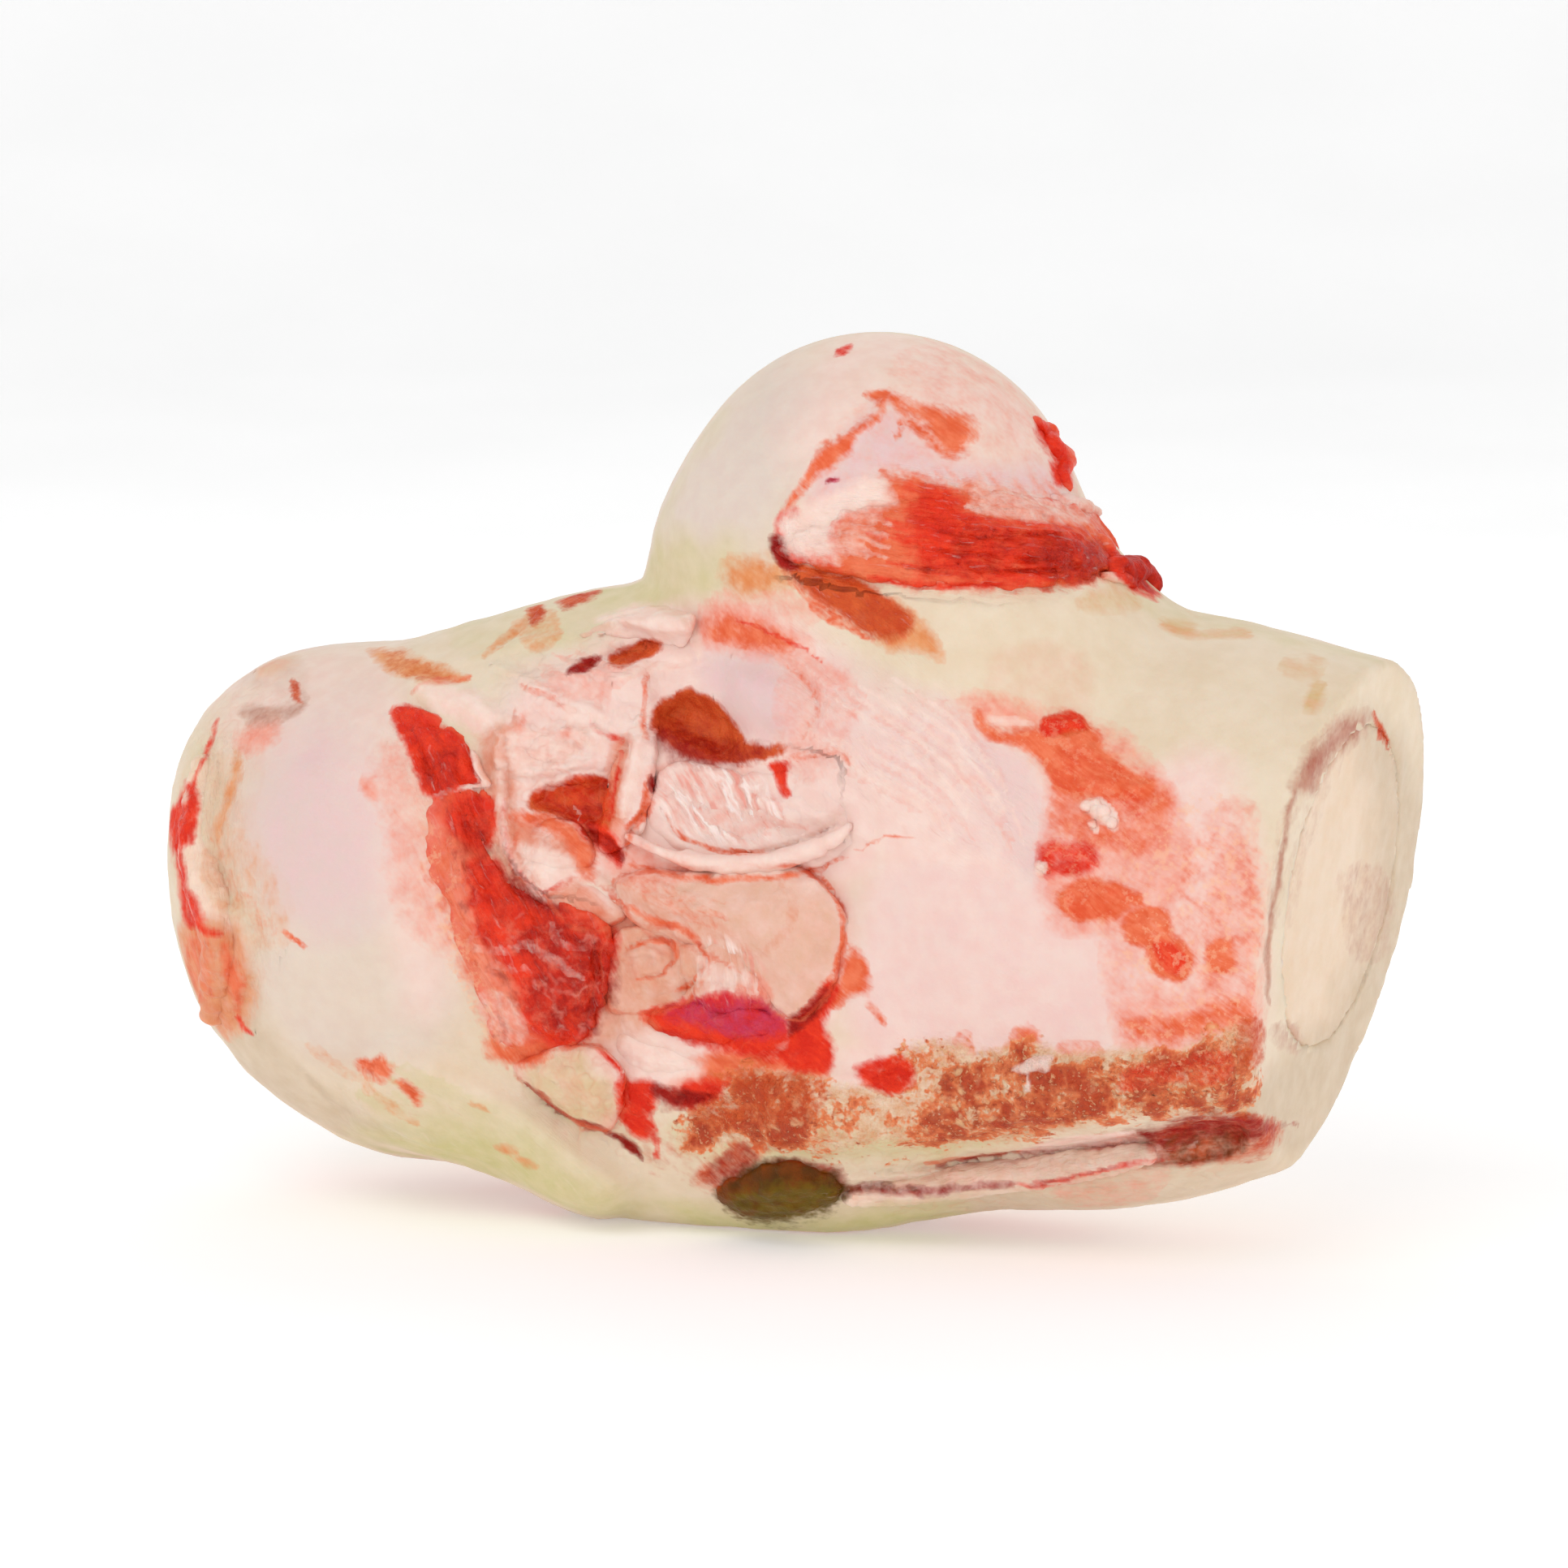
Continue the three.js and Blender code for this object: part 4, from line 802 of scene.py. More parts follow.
        (1.2, 0.2, [(-31, 70), (-25, 68.4), (-25.4, 64.6), (-29, 65.4)]),
        (1.5, 0.5, [(-51, 72.8), (-44, 72.6), (-40, 69), (-42, 66.6), (-46, 68.4), (-49.6, 71)]),
    ],
    "ridge": [  # the rough ridge of the shaft
        (2.5, 0.9, [(-14, 17), (-6, 21), (2, 20), (3, 14), (0, 10), (-8, 11), (-15, 9.4)]),
        (2.5, 0.25, [(0, 20), (8, 19), (14, 23.4), (21, 25), (25, 22), (24, 12), (12, 11), (2, 10)]),
        (2.5, 0.8, [(20, 22), (25, 23), (30, 25.4), (36, 23.4), (46, 24), (52, 24), (61, 26.6), (62, 16),
            (46, 14.6), (30, 11.8), (20, 13)]),
        (2, -0.35, [(0, 12), (20, 13), (46, 15.4), (62, 17), (62, 14), (46, 12.6), (20, 9), (2, 8)]),
    ],
    "marble": [  # marbled meat
        (3, 0.8, [(-42, 40), (-34, 43), (-25, 40), (-26, 28), (-32, 25), (-40, 27)]),
        (3, -0.3, [(-47, 54), (-40, 56), (-38, 46), (-46, 42)]),
        (1.5, 0.7, [(-50, 52), (-45, 51), (-43, 42), (-40, 34), (-38, 26), (-42, 24), (-46, 36)]),
    ],
    "grains": [  # fatty grains between meat and cartilage
        (2.5, 0.9, [(-50, 54), (-47, 50), (-45.6, 42), (-42, 34), (-41, 26), (-45, 27), (-47, 36),
            (-50, 44)]),
        (3, 0.4, [(44, 42), (50, 56), (60, 58), (60, 22), (46, 22)]),
        (1.5, -0.1, [(24, 70), (36, 70), (44, 66), (51, 58), (48, 50), (54, 36), (48, 34), (40, 41),
            (34, 44), (34, 52), (40, 56), (30, 64)]),
    ],
    "crinkle": [  # small folds
        (3, 0.8, [(-42, 62), (-41, 74), (-30, 79), (-20, 79), (-18, 72), (-23, 62), (-28, 48), (-38, 44)]),
        (3, 0, [(-27, 40), (-16, 36), (-12, 30), (-6, 24), (-20, 18), (-28, 24)]),
        (2, 0.6, [(-38, 21), (-27, 25), (-18, 20), (-17, 9), (-24, 9), (-34, 15)]),
        (3, 0.2, [(6, 10), (30, 11.6), (50, 14), (66, 12), (50, 3), (20, 0)]),
        (3, 0, [(-80, 68), (-70, 77), (-68, 70), (-75, 64), (-76, 50), (-72, 38), (-74, 26), (-80, 28)]),
    ],
    "ribs": [  # ribs in the fat
        (1.5, 1, [(-18, 61.4), (-8, 62), (-4, 59), (-1, 55), (-5, 52.4), (-14, 52.6), (-18, 56)]),
        (1.2, 0.6, [(-14, 37.4), (-8, 38.4), (-4, 34.6), (-5, 33), (-13, 32.4)]),
    ],
    "fibre": [  # visible fibres
        (5, 0.3, [(-4, 84), (8, 78), (20, 72), (32, 62), (34, 48), (20, 52), (10, 58), (2, 66)]),
        (1.5, 1, [(-18, 61), (-8, 61.6), (-3, 58), (0, 54), (-6, 51.6), (-14, 53)]),
        (1.5, 1, [(-14, 37), (-8, 38), (-4, 34), (-5, 30), (-13, 30)]),
        (2, 1, [(-3, 92), (4, 98), (14, 103), (30, 101), (43, 97), (44, 88), (30, 85), (8, 87)]),
        (2, 0.9, [(-2, 90), (8, 88), (20, 79), (18, 76), (4, 82)]),
        (3, 0.5, [(-54, 70), (-44, 66), (-40, 50), (-26, 40), (-26, 28), (-38, 22), (-48, 46)]),
        (1.5, 1, [(4, 3), (6, 6), (28, 9), (50, 12.6), (54, 8), (30, 4)]),
        (2, 0.6, [(-82, 66), (-75, 66), (-74, 52), (-70, 40), (-74, 28), (-82, 30)]),
        (3, 0, [(-62, 20), (-44, 16), (-28, 10), (-24, 0), (-56, 6)]),
    ],
    "ochre": [
        (1.5, -0.2, [(0, 97.6), (10, 97.6), (12, 94), (4, 92.6)]),
        (1.2, 0.6, [(-74, 75), (-70.4, 77.4), (-67, 77.4), (-70, 75)]),
    ],
}

# The direction of the fibres in degrees, and where on the sheet; elsewhere it is FIBRES
FIBRES = -38
GRAIN = [
    (-6, [(-6, 90), (2, 100), (16, 106), (44, 101), (52, 86), (30, 84), (8, 86)]),
    (-62, [(-56, 72), (-42, 68), (-38, 48), (-22, 40), (-24, 20), (-42, 20), (-54, 54)]),
    (-58, [(-21, 66), (-6, 66), (6, 62), (6, 55), (-4, 49), (-16, 49)]),
    (-76, [(-16, 40), (-3, 40), (-3, 29), (-15, 29)]),
    (8, [(2, 2), (2, 8), (28, 11), (64, 17), (64, 6), (30, 2)]),
    (-84, [(-86, 68), (-73, 68), (-72, 24), (-86, 24)]),
]

# Colour lines on the sheet, by layer: half width, softness, strength, path
LINES = {
    "pearl": [
        (0.6, 0.8, 0.6, [(-60, 14), (-50, 12), (-42, 10.6)]),
    ],
    # painted shade low on the left, where the bone turns under
    "dusk": [
        (0.5, 0.8, 0.6, [(-68, 22), (-60, 15), (-52, 11)]),
        (0.5, 0.8, 0.6, [(-64, 17), (-56, 11.6), (-49, 8.6)]),
    ],
    "salmon": [
        (0.6, 0.8, 0.3, [(-38, 70), (-37.4, 66), (-35.6, 63.6), (-31, 64.4), (-27, 66)]),
        (0.5, 0.8, -0.5, [(-2, 47), (0, 43), (-3, 38), (-9, 36)]),
        (0.4, 0.8, -0.7, [(60.8, 32), (60.8, 44), (61.6, 56)]),
    ],
    "rose": [
        (0.4, 0.6, 0.7, [(-34.4, 67.6), (-32.8, 65.2), (-31, 65.8), (-30.4, 67.6)]),
        (0.4, 0.6, 0.6, [(-36.4, 69.6), (-37, 66), (-36.2, 62)]),
        (0.5, 0.6, 0.8, [(38, 10.8), (46, 12)]),
    ],
    "tan": [
        (0.6, 0.9, 0.4, [(-75.6, 64.6), (-76, 60), (-77, 56.6), (-78.2, 52)]),
        (0.4, 0.6, 0.4, [(-34.6, 84), (-38, 80.4), (-42, 77)]),
        (0.3, 0.5, 0.3, [(-44, 16.4), (-41.6, 15.6)]),
        (0.5, 0.6, 0.4, [(-40, 11), (-37.4, 10)]),
        (0.4, 0.6, 0.4, [(-37.4, 9), (-34.6, 8)]),
        (0.3, 0.8, -0.2, [(-58, 18.6), (-54.6, 16), (-51, 14)]),
        (0.3, 0.8, -0.3, [(-66, 25), (-62, 21.6), (-57, 19)]),
    ],
    "dun": [
        (0.35, 0.5, 0.5, [(72.6, 67), (70, 63), (68.6, 59), (67, 54), (65.8, 48), (64.9, 42), (64.4, 35),
            (64.6, 30)]),
        (1.2, 2, -0.6, [(73, 66), (69.6, 58), (67, 50), (66, 42)]),
    ],
    "orange": [
        (0.7, 0.9, 1, [(-1.6, 97), (0, 99.4), (2, 101.6), (4.6, 105), (8, 107), (10.6, 109), (11.8, 110.8),
            (12.6, 112.2)]),
        (0.6, 0.7, 0.9, [(9.6, 112.4), (11.4, 112.2), (13, 112.4)]),
        (0.6, 0.8, 0.8, [(13, 112), (15, 110), (17.4, 107.8), (20, 105.6), (22.8, 104.2)]),
        (0.3, 0.4, 0.7, [(13.2, 108), (14, 107), (14.8, 107.6), (14.6, 108.6), (13.6, 108.6)]),
        (0.6, 0.9, -0.6, [(-78.6, 52), (-77, 47), (-74, 43), (-71, 40)]),
        (0.35, 0.5, 0.7, [(-69.6, 40), (-68, 39), (-66.2, 37.4)]),
        (1, 1, 1, [(-77, 38), (-76, 34), (-75.6, 30)]),
        (0.4, 0.6, 0.8, [(-22, 49.4), (-17, 47.6), (-10, 46.9), (-3, 47.2), (3, 48.4), (7, 50)]),
        (0.4, 0.5, 0.9, [(4, 47.4), (5.6, 45), (6.8, 41), (6.6, 37), (4.6, 32.4), (1, 29)]),
        (0.35, 0.5, 0.6, [(-18, 56), (-15.6, 53), (-12, 51.2), (-8, 50.6), (-4, 51)]),
        (0.5, 0.6, 0.6, [(-22.6, 54), (-20.4, 57), (-19.4, 61)]),
        (0.4, 0.7, -0.4, [(-37, 73), (-34, 71.6), (-31, 70), (-27, 68.4)]),
        (0.3, 0.6, 0.2, [(-19.4, 74), (-20.6, 70), (-20, 66)]),
        (0.4, 0.8, -0.4, [(-11, 62.6), (-5, 62.8), (0, 63.6), (5, 64), (10, 61)]),
        (0.3, 0.6, -0.4, [(1, 66), (3, 69.6), (2, 73), (-1, 75.6)]),
        (0.3, 0.5, 0.3, [(8.6, 50.8), (12, 52.6), (17, 53)]),
        (0.4, 0.6, 0.6, [(-24.6, 44.4), (-20, 42.2), (-14, 39.4), (-12.4, 37)]),
        (0.35, 0.5, 0.5, [(-22.6, 37.6), (-19.6, 39), (-16.8, 38.4), (-16.2, 36), (-17.8, 34.2),
            (-21, 33.4)]),
        (0.35, 0.5, 0.5, [(-12.8, 38), (-12, 35.6), (-13.6, 33), (-16, 31.6)]),
        (0.4, 0.5, 0.6, [(-26.4, 40), (-26, 34), (-27, 28), (-28.6, 25)]),
        (0.5, 0.6, 0.2, [(-44, 74.6), (-47, 74.2), (-50, 73.4), (-51.6, 72)]),
        (0.35, 0.5, 0.6, [(18, 8.4), (26, 9), (33, 10)]),
        (0.3, 0.6, 0.6, [(-19, 60), (-20, 56.4), (-22, 53.4), (-23, 51)]),
    ],
    "rust": [
        (0.5, 0.5, 1, [(78.8, 69.4), (79.6, 66.8), (80.4, 64)]),
        (0.6, 0.8, 0.5, [(-67.8, 73.4), (-67, 71.6)]),
    ],
    "red": [
        (0.3, 0.5, 0.7, [(-27.6, 68.2), (-24.6, 66.6), (-22.4, 66)]),
        (0.3, 0.5, 0.8, [(-22.6, 66), (-23.4, 62), (-24.4, 58.4), (-25, 55)]),
        (0.3, 0.5, 0.7, [(-77.8, 68.6), (-79.4, 65), (-81, 61), (-81.8, 59)]),
        (0.7, 0.7, 1, [(-82, 60), (-81.6, 56), (-81.8, 52)]),
        (0.6, 0.7, 1, [(-83.6, 52), (-83, 48), (-81.6, 44), (-80.4, 40.6), (-77.4, 39.4)]),
        (0.5, 0.6, 0.8, [(-75.6, 28.6), (-74.4, 27), (-73.2, 26.2)]),
        (0.5, 0.6, 0.9, [(10, 88), (16, 86.8), (24, 86.6), (33, 87)]),
        (0.4, 0.5, 1, [(30, 5.4), (37, 6), (43, 7.2), (48, 8.6), (51, 9.2)]),
        (0.4, 0.5, 0.7, [(-39.4, 58), (-39, 52), (-37, 47.4), (-34, 45.6), (-31, 46.8)]),
        (0.5, 0.6, 0.8, [(-19.6, 17), (-18.4, 13), (-18.4, 9.6)]),
        (0.5, 0.5, 0.7, [(-26.4, 24), (-24.4, 21.6), (-22.4, 19.6)]),
        (0.3, 0.4, 0.5, [(-8, 82.4), (-4, 80.6), (1, 78.4), (4, 76)]),
    ],
    "plum": [
        (0.5, 0.5, 0.6, [(4.8, 101), (5.8, 101.6), (6.2, 101.2)]),
    ],
    "crimson": [
        (0.2, 0.5, 0, [(32, 5.6), (38, 6.2), (44, 7.6)]),
        (0.35, 0.4, 0.9, [(-36.5, 19.5), (-35, 17.6), (-33.8, 16.6), (-32, 15), (-28, 13.5), (-25.4, 12.6),
            (-23, 11), (-20.6, 9)]),
        (0.35, 0.5, 0.8, [(19.6, 8), (24, 8.6), (30, 9.8)]),
        (0.25, 0.5, 0.3, [(29, 9), (37, 10.4), (46, 11.4), (52, 12.8)]),
        (0.3, 0.6, -0.2, [(63, 13), (66, 13.6), (68.4, 14)]),
        (0.4, 0.5, 0.7, [(4.8, 101), (6, 101.6)]),
        (0.6, 0.6, 1, [(5.3, 4.4), (9, 5.4), (13, 5.2), (18, 4.8), (24, 5), (30, 5.4)]),
    ],
    "umber": [
        (0.3, 0.6, 0, [(5.3, 4.6), (10.4, 5.6), (16.5, 5)]),
    ],
    "fleck": [
        (0.6, 0.6, 0.7, [(31, 10), (38, 11.2), (46, 12.4)]),
        (0.2, 0.4, -0.4, [(53.4, 10.6), (54.4, 11)]),
        # a painted glint in the cavity
        (0.25, 0.4, -0.2, [(-29.8, 57), (-29, 56), (-28.8, 54.8)]),
        (0.35, 0.4, 1, [(-43.6, 64), (-42.6, 61), (-41.6, 60.2)]),
        (0.4, 0.4, 1, [(-45, 59.4), (-41.4, 59.8)]),
        (0.4, 0.7, -0.4, [(-43.7, 38.4), (-39.7, 37), (-36.3, 37.8), (-33.4, 37), (-32, 36), (-30.2, 33.8),
            (-29, 33)]),
        (0.3, 0.6, -0.5, [(-41, 35.6), (-38.2, 34.4), (-36, 34.6), (-34.6, 32)]),
        (0.3, 0.6, -0.5, [(-33, 41), (-31.6, 38.6), (-28.6, 37.4)]),
        (0.3, 0.7, -0.4, [(-49.8, 57.2), (-47, 58.6), (-44.4, 59.4)]),
        (0.6, 0.4, 1, [(32.2, 22.2), (31.9, 20.6), (31.5, 18.2)]),
        (0.7, 0.4, 1, [(29.9, 21.4), (31.4, 21.2), (33, 22), (34.8, 22.6)]),
        (0.5, 0.4, 0.8, [(33.4, 22.4), (34.2, 21.2)]),
        (0.6, 0.8, 0, [(-39.8, 66), (-39.6, 58), (-39, 52), (-37.4, 48.4), (-34.6, 45.4)]),
        (0.9, 0.8, 0.7, [(-20.6, 66), (-21.6, 61), (-23.4, 56)]),
        (0.7, 0.8, 0.3, [(-19, 50.8), (-13, 48.9), (-8, 48.9), (-3, 50), (3, 51.6), (7, 53.4)]),
        (0.5, 0.6, 0.7, [(-14, 82), (-13.4, 79), (-12.6, 76.6)]),
        (0.8, 0.8, 0.6, [(-24.6, 74.6), (-19.6, 75), (-15, 76.6)]),
    ],
    "ochre": [
        (1.1, 1.2, 0.5, [(70.2, 70.4), (71.2, 73)]),
        (0.8, 1.6, -0.2, [(67, 75.6), (69, 75.2), (71, 75.6)]),
        (1.2, 1.8, 0, [(40, 84.2), (43.4, 84.8), (46, 84.2)]),
        (1.1, 1.1, 0.9, [(50.4, 81.4), (52.4, 80.8), (54, 80.4)]),
        (0.5, 0.9, 0.2, [(54.6, 80), (58, 80.2), (62, 79.8)]),
        (0.6, 0.8, 0.3, [(53.4, 84), (55, 83.4)]),
    ],
}

# Bundles of fine strands between two guide paths: layer, strength, height in mm, half width,
# how many, first guide, last guide
STRANDS = [
    ("rose", -0.4, 0.35, 0.35, 12, [(-18, 61), (-16, 57), (-12.6, 53.8), (-8, 51.8)], [(-8, 61.6),
        (-5.6, 58.6), (-2, 56), (4, 54)]),
    ("rose", -0.5, 0.12, 0.35, 10, [(2, 64), (10, 60), (18, 55), (25, 47)], [(8, 78), (20, 71), (28, 62),
        (33, 50)]),
    ("fleck", 0.2, 0.25, 0.35, 9, [(4, 66), (10, 61), (18, 56), (25, 49)], [(8, 77), (20, 70), (27, 62),
        (32, 50)]),
    ("orange", 0.6, 0.3, 0.3, 20, [(11, 102.4), (14, 99.6), (16, 96)], [(28, 99.8), (33, 97.6), (37, 95)]),
    ("rose", 0.3, 0.2, 0.25, 9, [(13, 103.4), (15, 101), (17, 99)], [(34, 102), (36, 99.6), (38, 97.6)]),
    ("red", 0.5, 0.4, 0.35, 13, [(13, 99.4), (24, 96), (34, 95), (42, 94.4)], [(7, 89.6), (20, 88),
        (34, 87.4), (42, 89)]),
    ("crimson", -0.3, -0.4, 0.35, 12, [(18, 95), (26, 93.6), (34, 94), (42, 93)], [(14, 89), (24, 88.6),
        (34, 88.6), (42, 89.4)]),
    ("fleck", 0, 0.3, 0.35, 7, [(22, 99), (32, 98), (41, 96.6)], [(22, 97), (32, 96.4), (41, 95.4)]),
    ("fleck", -0.2, 0.3, 0.3, 7, [(1, 98), (8, 97), (14, 95)], [(0, 92), (6, 91), (13, 89)]),
    ("fleck", 0.6, 0.4, 0.3, 8, [(-13, 37.5), (-12.4, 31)], [(-5, 35), (-5, 30.8)]),
    ("crimson", -0.4, -0.3, 0.4, 14, [(-53, 69), (-47, 56), (-43, 42), (-38, 28)], [(-44, 64), (-40.5, 52),
        (-32, 42), (-26, 32)]),
    ("peach", -0.3, 0.25, 0.5, 7, [(-80, 64), (-80, 52), (-78, 43)], [(-75, 64), (-75, 54), (-71, 43)]),
    ("rose", -0.5, 0.2, 0.25, 5, [(8, 5.4), (28, 7.6), (48, 10.4)], [(8, 4.2), (28, 5.8), (48, 8.8)]),
    ("rose", 0.1, -0.25, 0.35, 6, [(-39, 67), (-34, 66), (-29, 68)], [(-37, 62), (-33, 62.4), (-28, 64)]),
    ("rose", -0.2, 0.25, 0.35, 7, [(-38, 75), (-30, 72), (-24, 72)], [(-30, 78), (-22, 75), (-14, 76)]),
    ("rose", 0, 0.15, 0.35, 7, [(-1, 76), (4, 71), (9, 64)], [(-6, 80), (3, 77), (12, 70)]),
    ("orange", -0.4, 0.15, 0.35, 6, [(-24, 48), (-14, 45), (-6, 43)], [(-24, 45.6), (-16, 42), (-8, 38)]),
    ("orange", 0.6, 0.3, 0.4, 7, [(0, 89), (8, 86), (17, 80)], [(-1, 87), (6, 81), (14, 78)]),
    # Greenish painted shade in strands low on the left
    ("moss", -0.2, 0.15, 0.5, 6, [(-62, 20), (-50, 12), (-36, 8)], [(-56, 24), (-44, 17), (-32, 10)]),
]

# Raised or sunken patches on whatever is outermost: height, reach in from the edge, outline
PATCHES = [
    (0.7, 1.4, [(24.6, 69.4), (30, 67.4), (33, 68.4), (37, 69.4), (39.6, 68.4), (41, 65.6), (46, 61),
        (49, 59.4), (46, 57.6), (42, 57.4), (38, 58), (36, 60), (34, 62), (31, 65), (26, 67)]),
    (0.7, 1.2, [(33.4, 51.4), (36, 52.2), (40.4, 51.6), (41.4, 48.6), (38, 47.2), (33.6, 48)]),
    (0.7, 1.2, [(35.6, 45), (40, 46.8), (44.6, 46.6), (47.4, 44), (44, 42), (38, 41), (35.4, 42.6)]),
    (0.6, 1.2, [(44.6, 40.6), (47, 42), (50, 42), (51.4, 39.4), (54, 37), (53.4, 33.6), (50, 34),
        (48.6, 37.4), (46, 38)]),
    (0.8, 1.4, [(-1.6, 89.9), (3, 89.5), (8.4, 87.9), (13, 85), (16.4, 81.6), (13, 79.6), (9, 80),
        (6, 82.6), (2.4, 85.6), (-0.6, 88)]),
    (1.2, 2, [(-52, 74.6), (-44, 73.4), (-39, 69), (-42, 66.6), (-46, 68.4), (-52, 71)]),
    (-1.6, 1.8, [(-36, 57), (-33, 60), (-29, 60.6), (-24.6, 61.4), (-24.6, 56.6), (-26, 54), (-32, 55)]),
    (-0.7, 1, [(-29, 54), (-25.6, 53.4), (-22.6, 50.4), (-23, 48.6), (-25.4, 50.6), (-28.4, 52.4)]),
    (-0.7, 1, [(-19.4, 18.6), (-15, 18.4), (-10.6, 17.6), (-13, 16.4), (-18, 16.2)]),
    (-0.6, 2.4, [(46, 12.4), (51, 14), (56, 15), (61, 14.4), (64, 12.6), (61, 10), (55, 9), (49, 10)]),
    (0.8, 0.8, [(39.6, 56.6), (41.6, 57.6), (43.4, 55.4), (43.6, 54), (41.6, 54.4)]),
    (0.7, 1, [(33.2, 68.4), (36, 69.9), (38.8, 69.5), (40, 67.4), (36.4, 66.4)]),
    (1.0, 2, [(-6.5, 57), (-5, 60.3), (-2, 58.6), (1, 61.5), (5, 61.2), (8, 58), (6.5, 55), (0, 53.6),
        (-4.5, 54.6)]),
    (0.5, 2, [(-22.4, 67), (-19.8, 67), (-20.6, 60), (-23, 54), (-25, 54.4), (-24, 61)]),
    (1.6, 1.6, [(-27, 82), (-21, 83.8), (-14.6, 83), (-13.6, 80), (-18, 79.2), (-22, 80.4)]),
    (1.0, 1.5, [(-73.6, 75), (-70, 77), (-67.4, 77), (-69, 74), (-72, 73)]),
    (0.5, 1.5, [(-14, 34), (-6, 37), (-5, 31), (-12, 31)]),
]

# Folds and creases along paths: height, half width, path
FOLDS = [
    (-0.7, 0.8, [(-36.5, 19.5), (-33.8, 16.6), (-28, 13.5), (-23, 11), (-20.6, 9)]),
    (-0.2, 0.9, [(-23, 50), (-17, 47.5), (-10, 46.9), (-3, 47.2), (3, 48.4), (8, 50.6)]),
    (0.6, 1.2, [(-1.6, 92), (0, 99.4), (4.6, 105), (8, 107), (10.6, 109), (12.6, 112.2)]),
    (-0.3, 0.8, [(-75.6, 66), (-76, 60), (-77, 56.6), (-78.2, 52), (-77, 47), (-72, 41)]),
    (0.3, 0.9, [(-74, 65), (-74.6, 58), (-75.6, 52), (-73, 47), (-69.6, 41)]),
    (0.6, 0.9, [(-77.4, 66), (-78.4, 60), (-79.8, 53), (-78.6, 46)]),
    (-0.6, 0.7, [(-77.8, 68.6), (-79.4, 65), (-81, 61), (-81.8, 55), (-82, 48)]),
    (-0.5, 0.6, [(4, 4.2), (10.4, 5.6), (16.5, 4.8), (28, 5.2), (38, 5.8), (49, 8.4)]),
    (-0.5, 0.6, [(20, 7.8), (27, 9), (33, 10), (39, 10.4), (46, 12)]),
    (-0.4, 0.6, [(72.6, 67), (70, 63), (68.6, 59), (67, 54), (65.8, 48), (64.9, 42), (64.4, 35)]),
    (-0.8, 0.6, [(-18, 56.4), (-15.6, 53), (-12, 51.2), (-8, 50.4), (-3, 50.8), (2, 52.4), (6, 54.4)]),
    (-0.7, 0.6, [(-22.4, 37.6), (-19.6, 39), (-16.8, 38.4), (-16.2, 36), (-17.8, 34.2), (-21, 33.4)]),
    (0.6, 0.8, [(-24, 36), (-21, 37.2), (-18.4, 36.6), (-19, 35)]),
    (0.6, 0.8, [(-15, 38), (-14.4, 35), (-16, 32.4)]),
    (-0.7, 0.6, [(-12.8, 38.4), (-12, 35.6), (-13.6, 33), (-16, 31)]),
    (-0.7, 0.7, [(-27.6, 68.4), (-24.6, 66.6), (-22.6, 66), (-23.4, 62), (-24.6, 58), (-25.2, 54.6)]),
    (-0.8, 0.6, [(-18.6, 63), (-19.2, 60), (-20.2, 56.4), (-22, 53.4), (-23, 50.6)]),
    (-0.2, 0.7, [(-25, 44.6), (-20, 42.4), (-14, 39.4), (-12.4, 37)]),
    (0.8, 1.0, [(-40.2, 67), (-39.8, 60), (-39.2, 53), (-37.6, 48.6), (-34.8, 45.4)]),
    (-0.6, 0.6, [(-39, 66), (-38.4, 58), (-37.8, 52.6)]),
    (0.6, 0.8, [(-26, 41), (-25.4, 34), (-26.4, 27)]),
    (-0.6, 0.7, [(-27.2, 40), (-26.8, 34), (-28, 27)]),
    (-0.5, 0.6, [(-34.6, 84), (-38, 80.4), (-42, 77)]),
    (0.5, 1.2, [(-46, 76), (-38, 78.6), (-30, 80)]),
    (0.4, 0.8, [(4, 74), (12, 68), (22, 62), (29, 52), (32, 46)]),
    (0.3, 0.7, [(8, 76), (18, 70), (27, 62), (31, 54)]),
    (0.7, 0.8, [(32.2, 22.2), (31.9, 20.6), (31.5, 18.2)]),
    (0.7, 0.9, [(29.9, 21.4), (31.4, 21.2), (33, 22), (34.8, 22.6)]),
    (0.5, 0.8, [(-14, 82), (-13.4, 79), (-12.6, 76.6)]),
    (0.5, 1.2, [(-62, 19), (-52, 12.6), (-42, 9)]),
    (-0.4, 1.2, [(-60, 16), (-50, 10), (-40, 6)]),
    (0.9, 1.0, [(-41, 76), (-36, 73.6), (-31, 71), (-26, 69.4)]),
    (0.8, 1.0, [(-38.6, 69), (-35, 66.4), (-31, 67), (-28, 66.8)]),
    (0.6, 0.9, [(-40, 62), (-36, 61.6), (-30, 62.4), (-27, 63.6)]),
    (0.6, 1.0, [(-20, 76), (-15, 75), (-11, 76.6)]),
    (0.7, 1.0, [(-10, 77), (-3, 78), (3, 75), (5, 70), (3, 66)]),
    (-0.5, 0.8, [(1, 66), (3, 69.6), (2, 73), (-1, 75.6)]),
    (0.5, 0.8, [(6.8, 36.6), (8.6, 37.2), (9.8, 34), (8, 31.4)]),
]

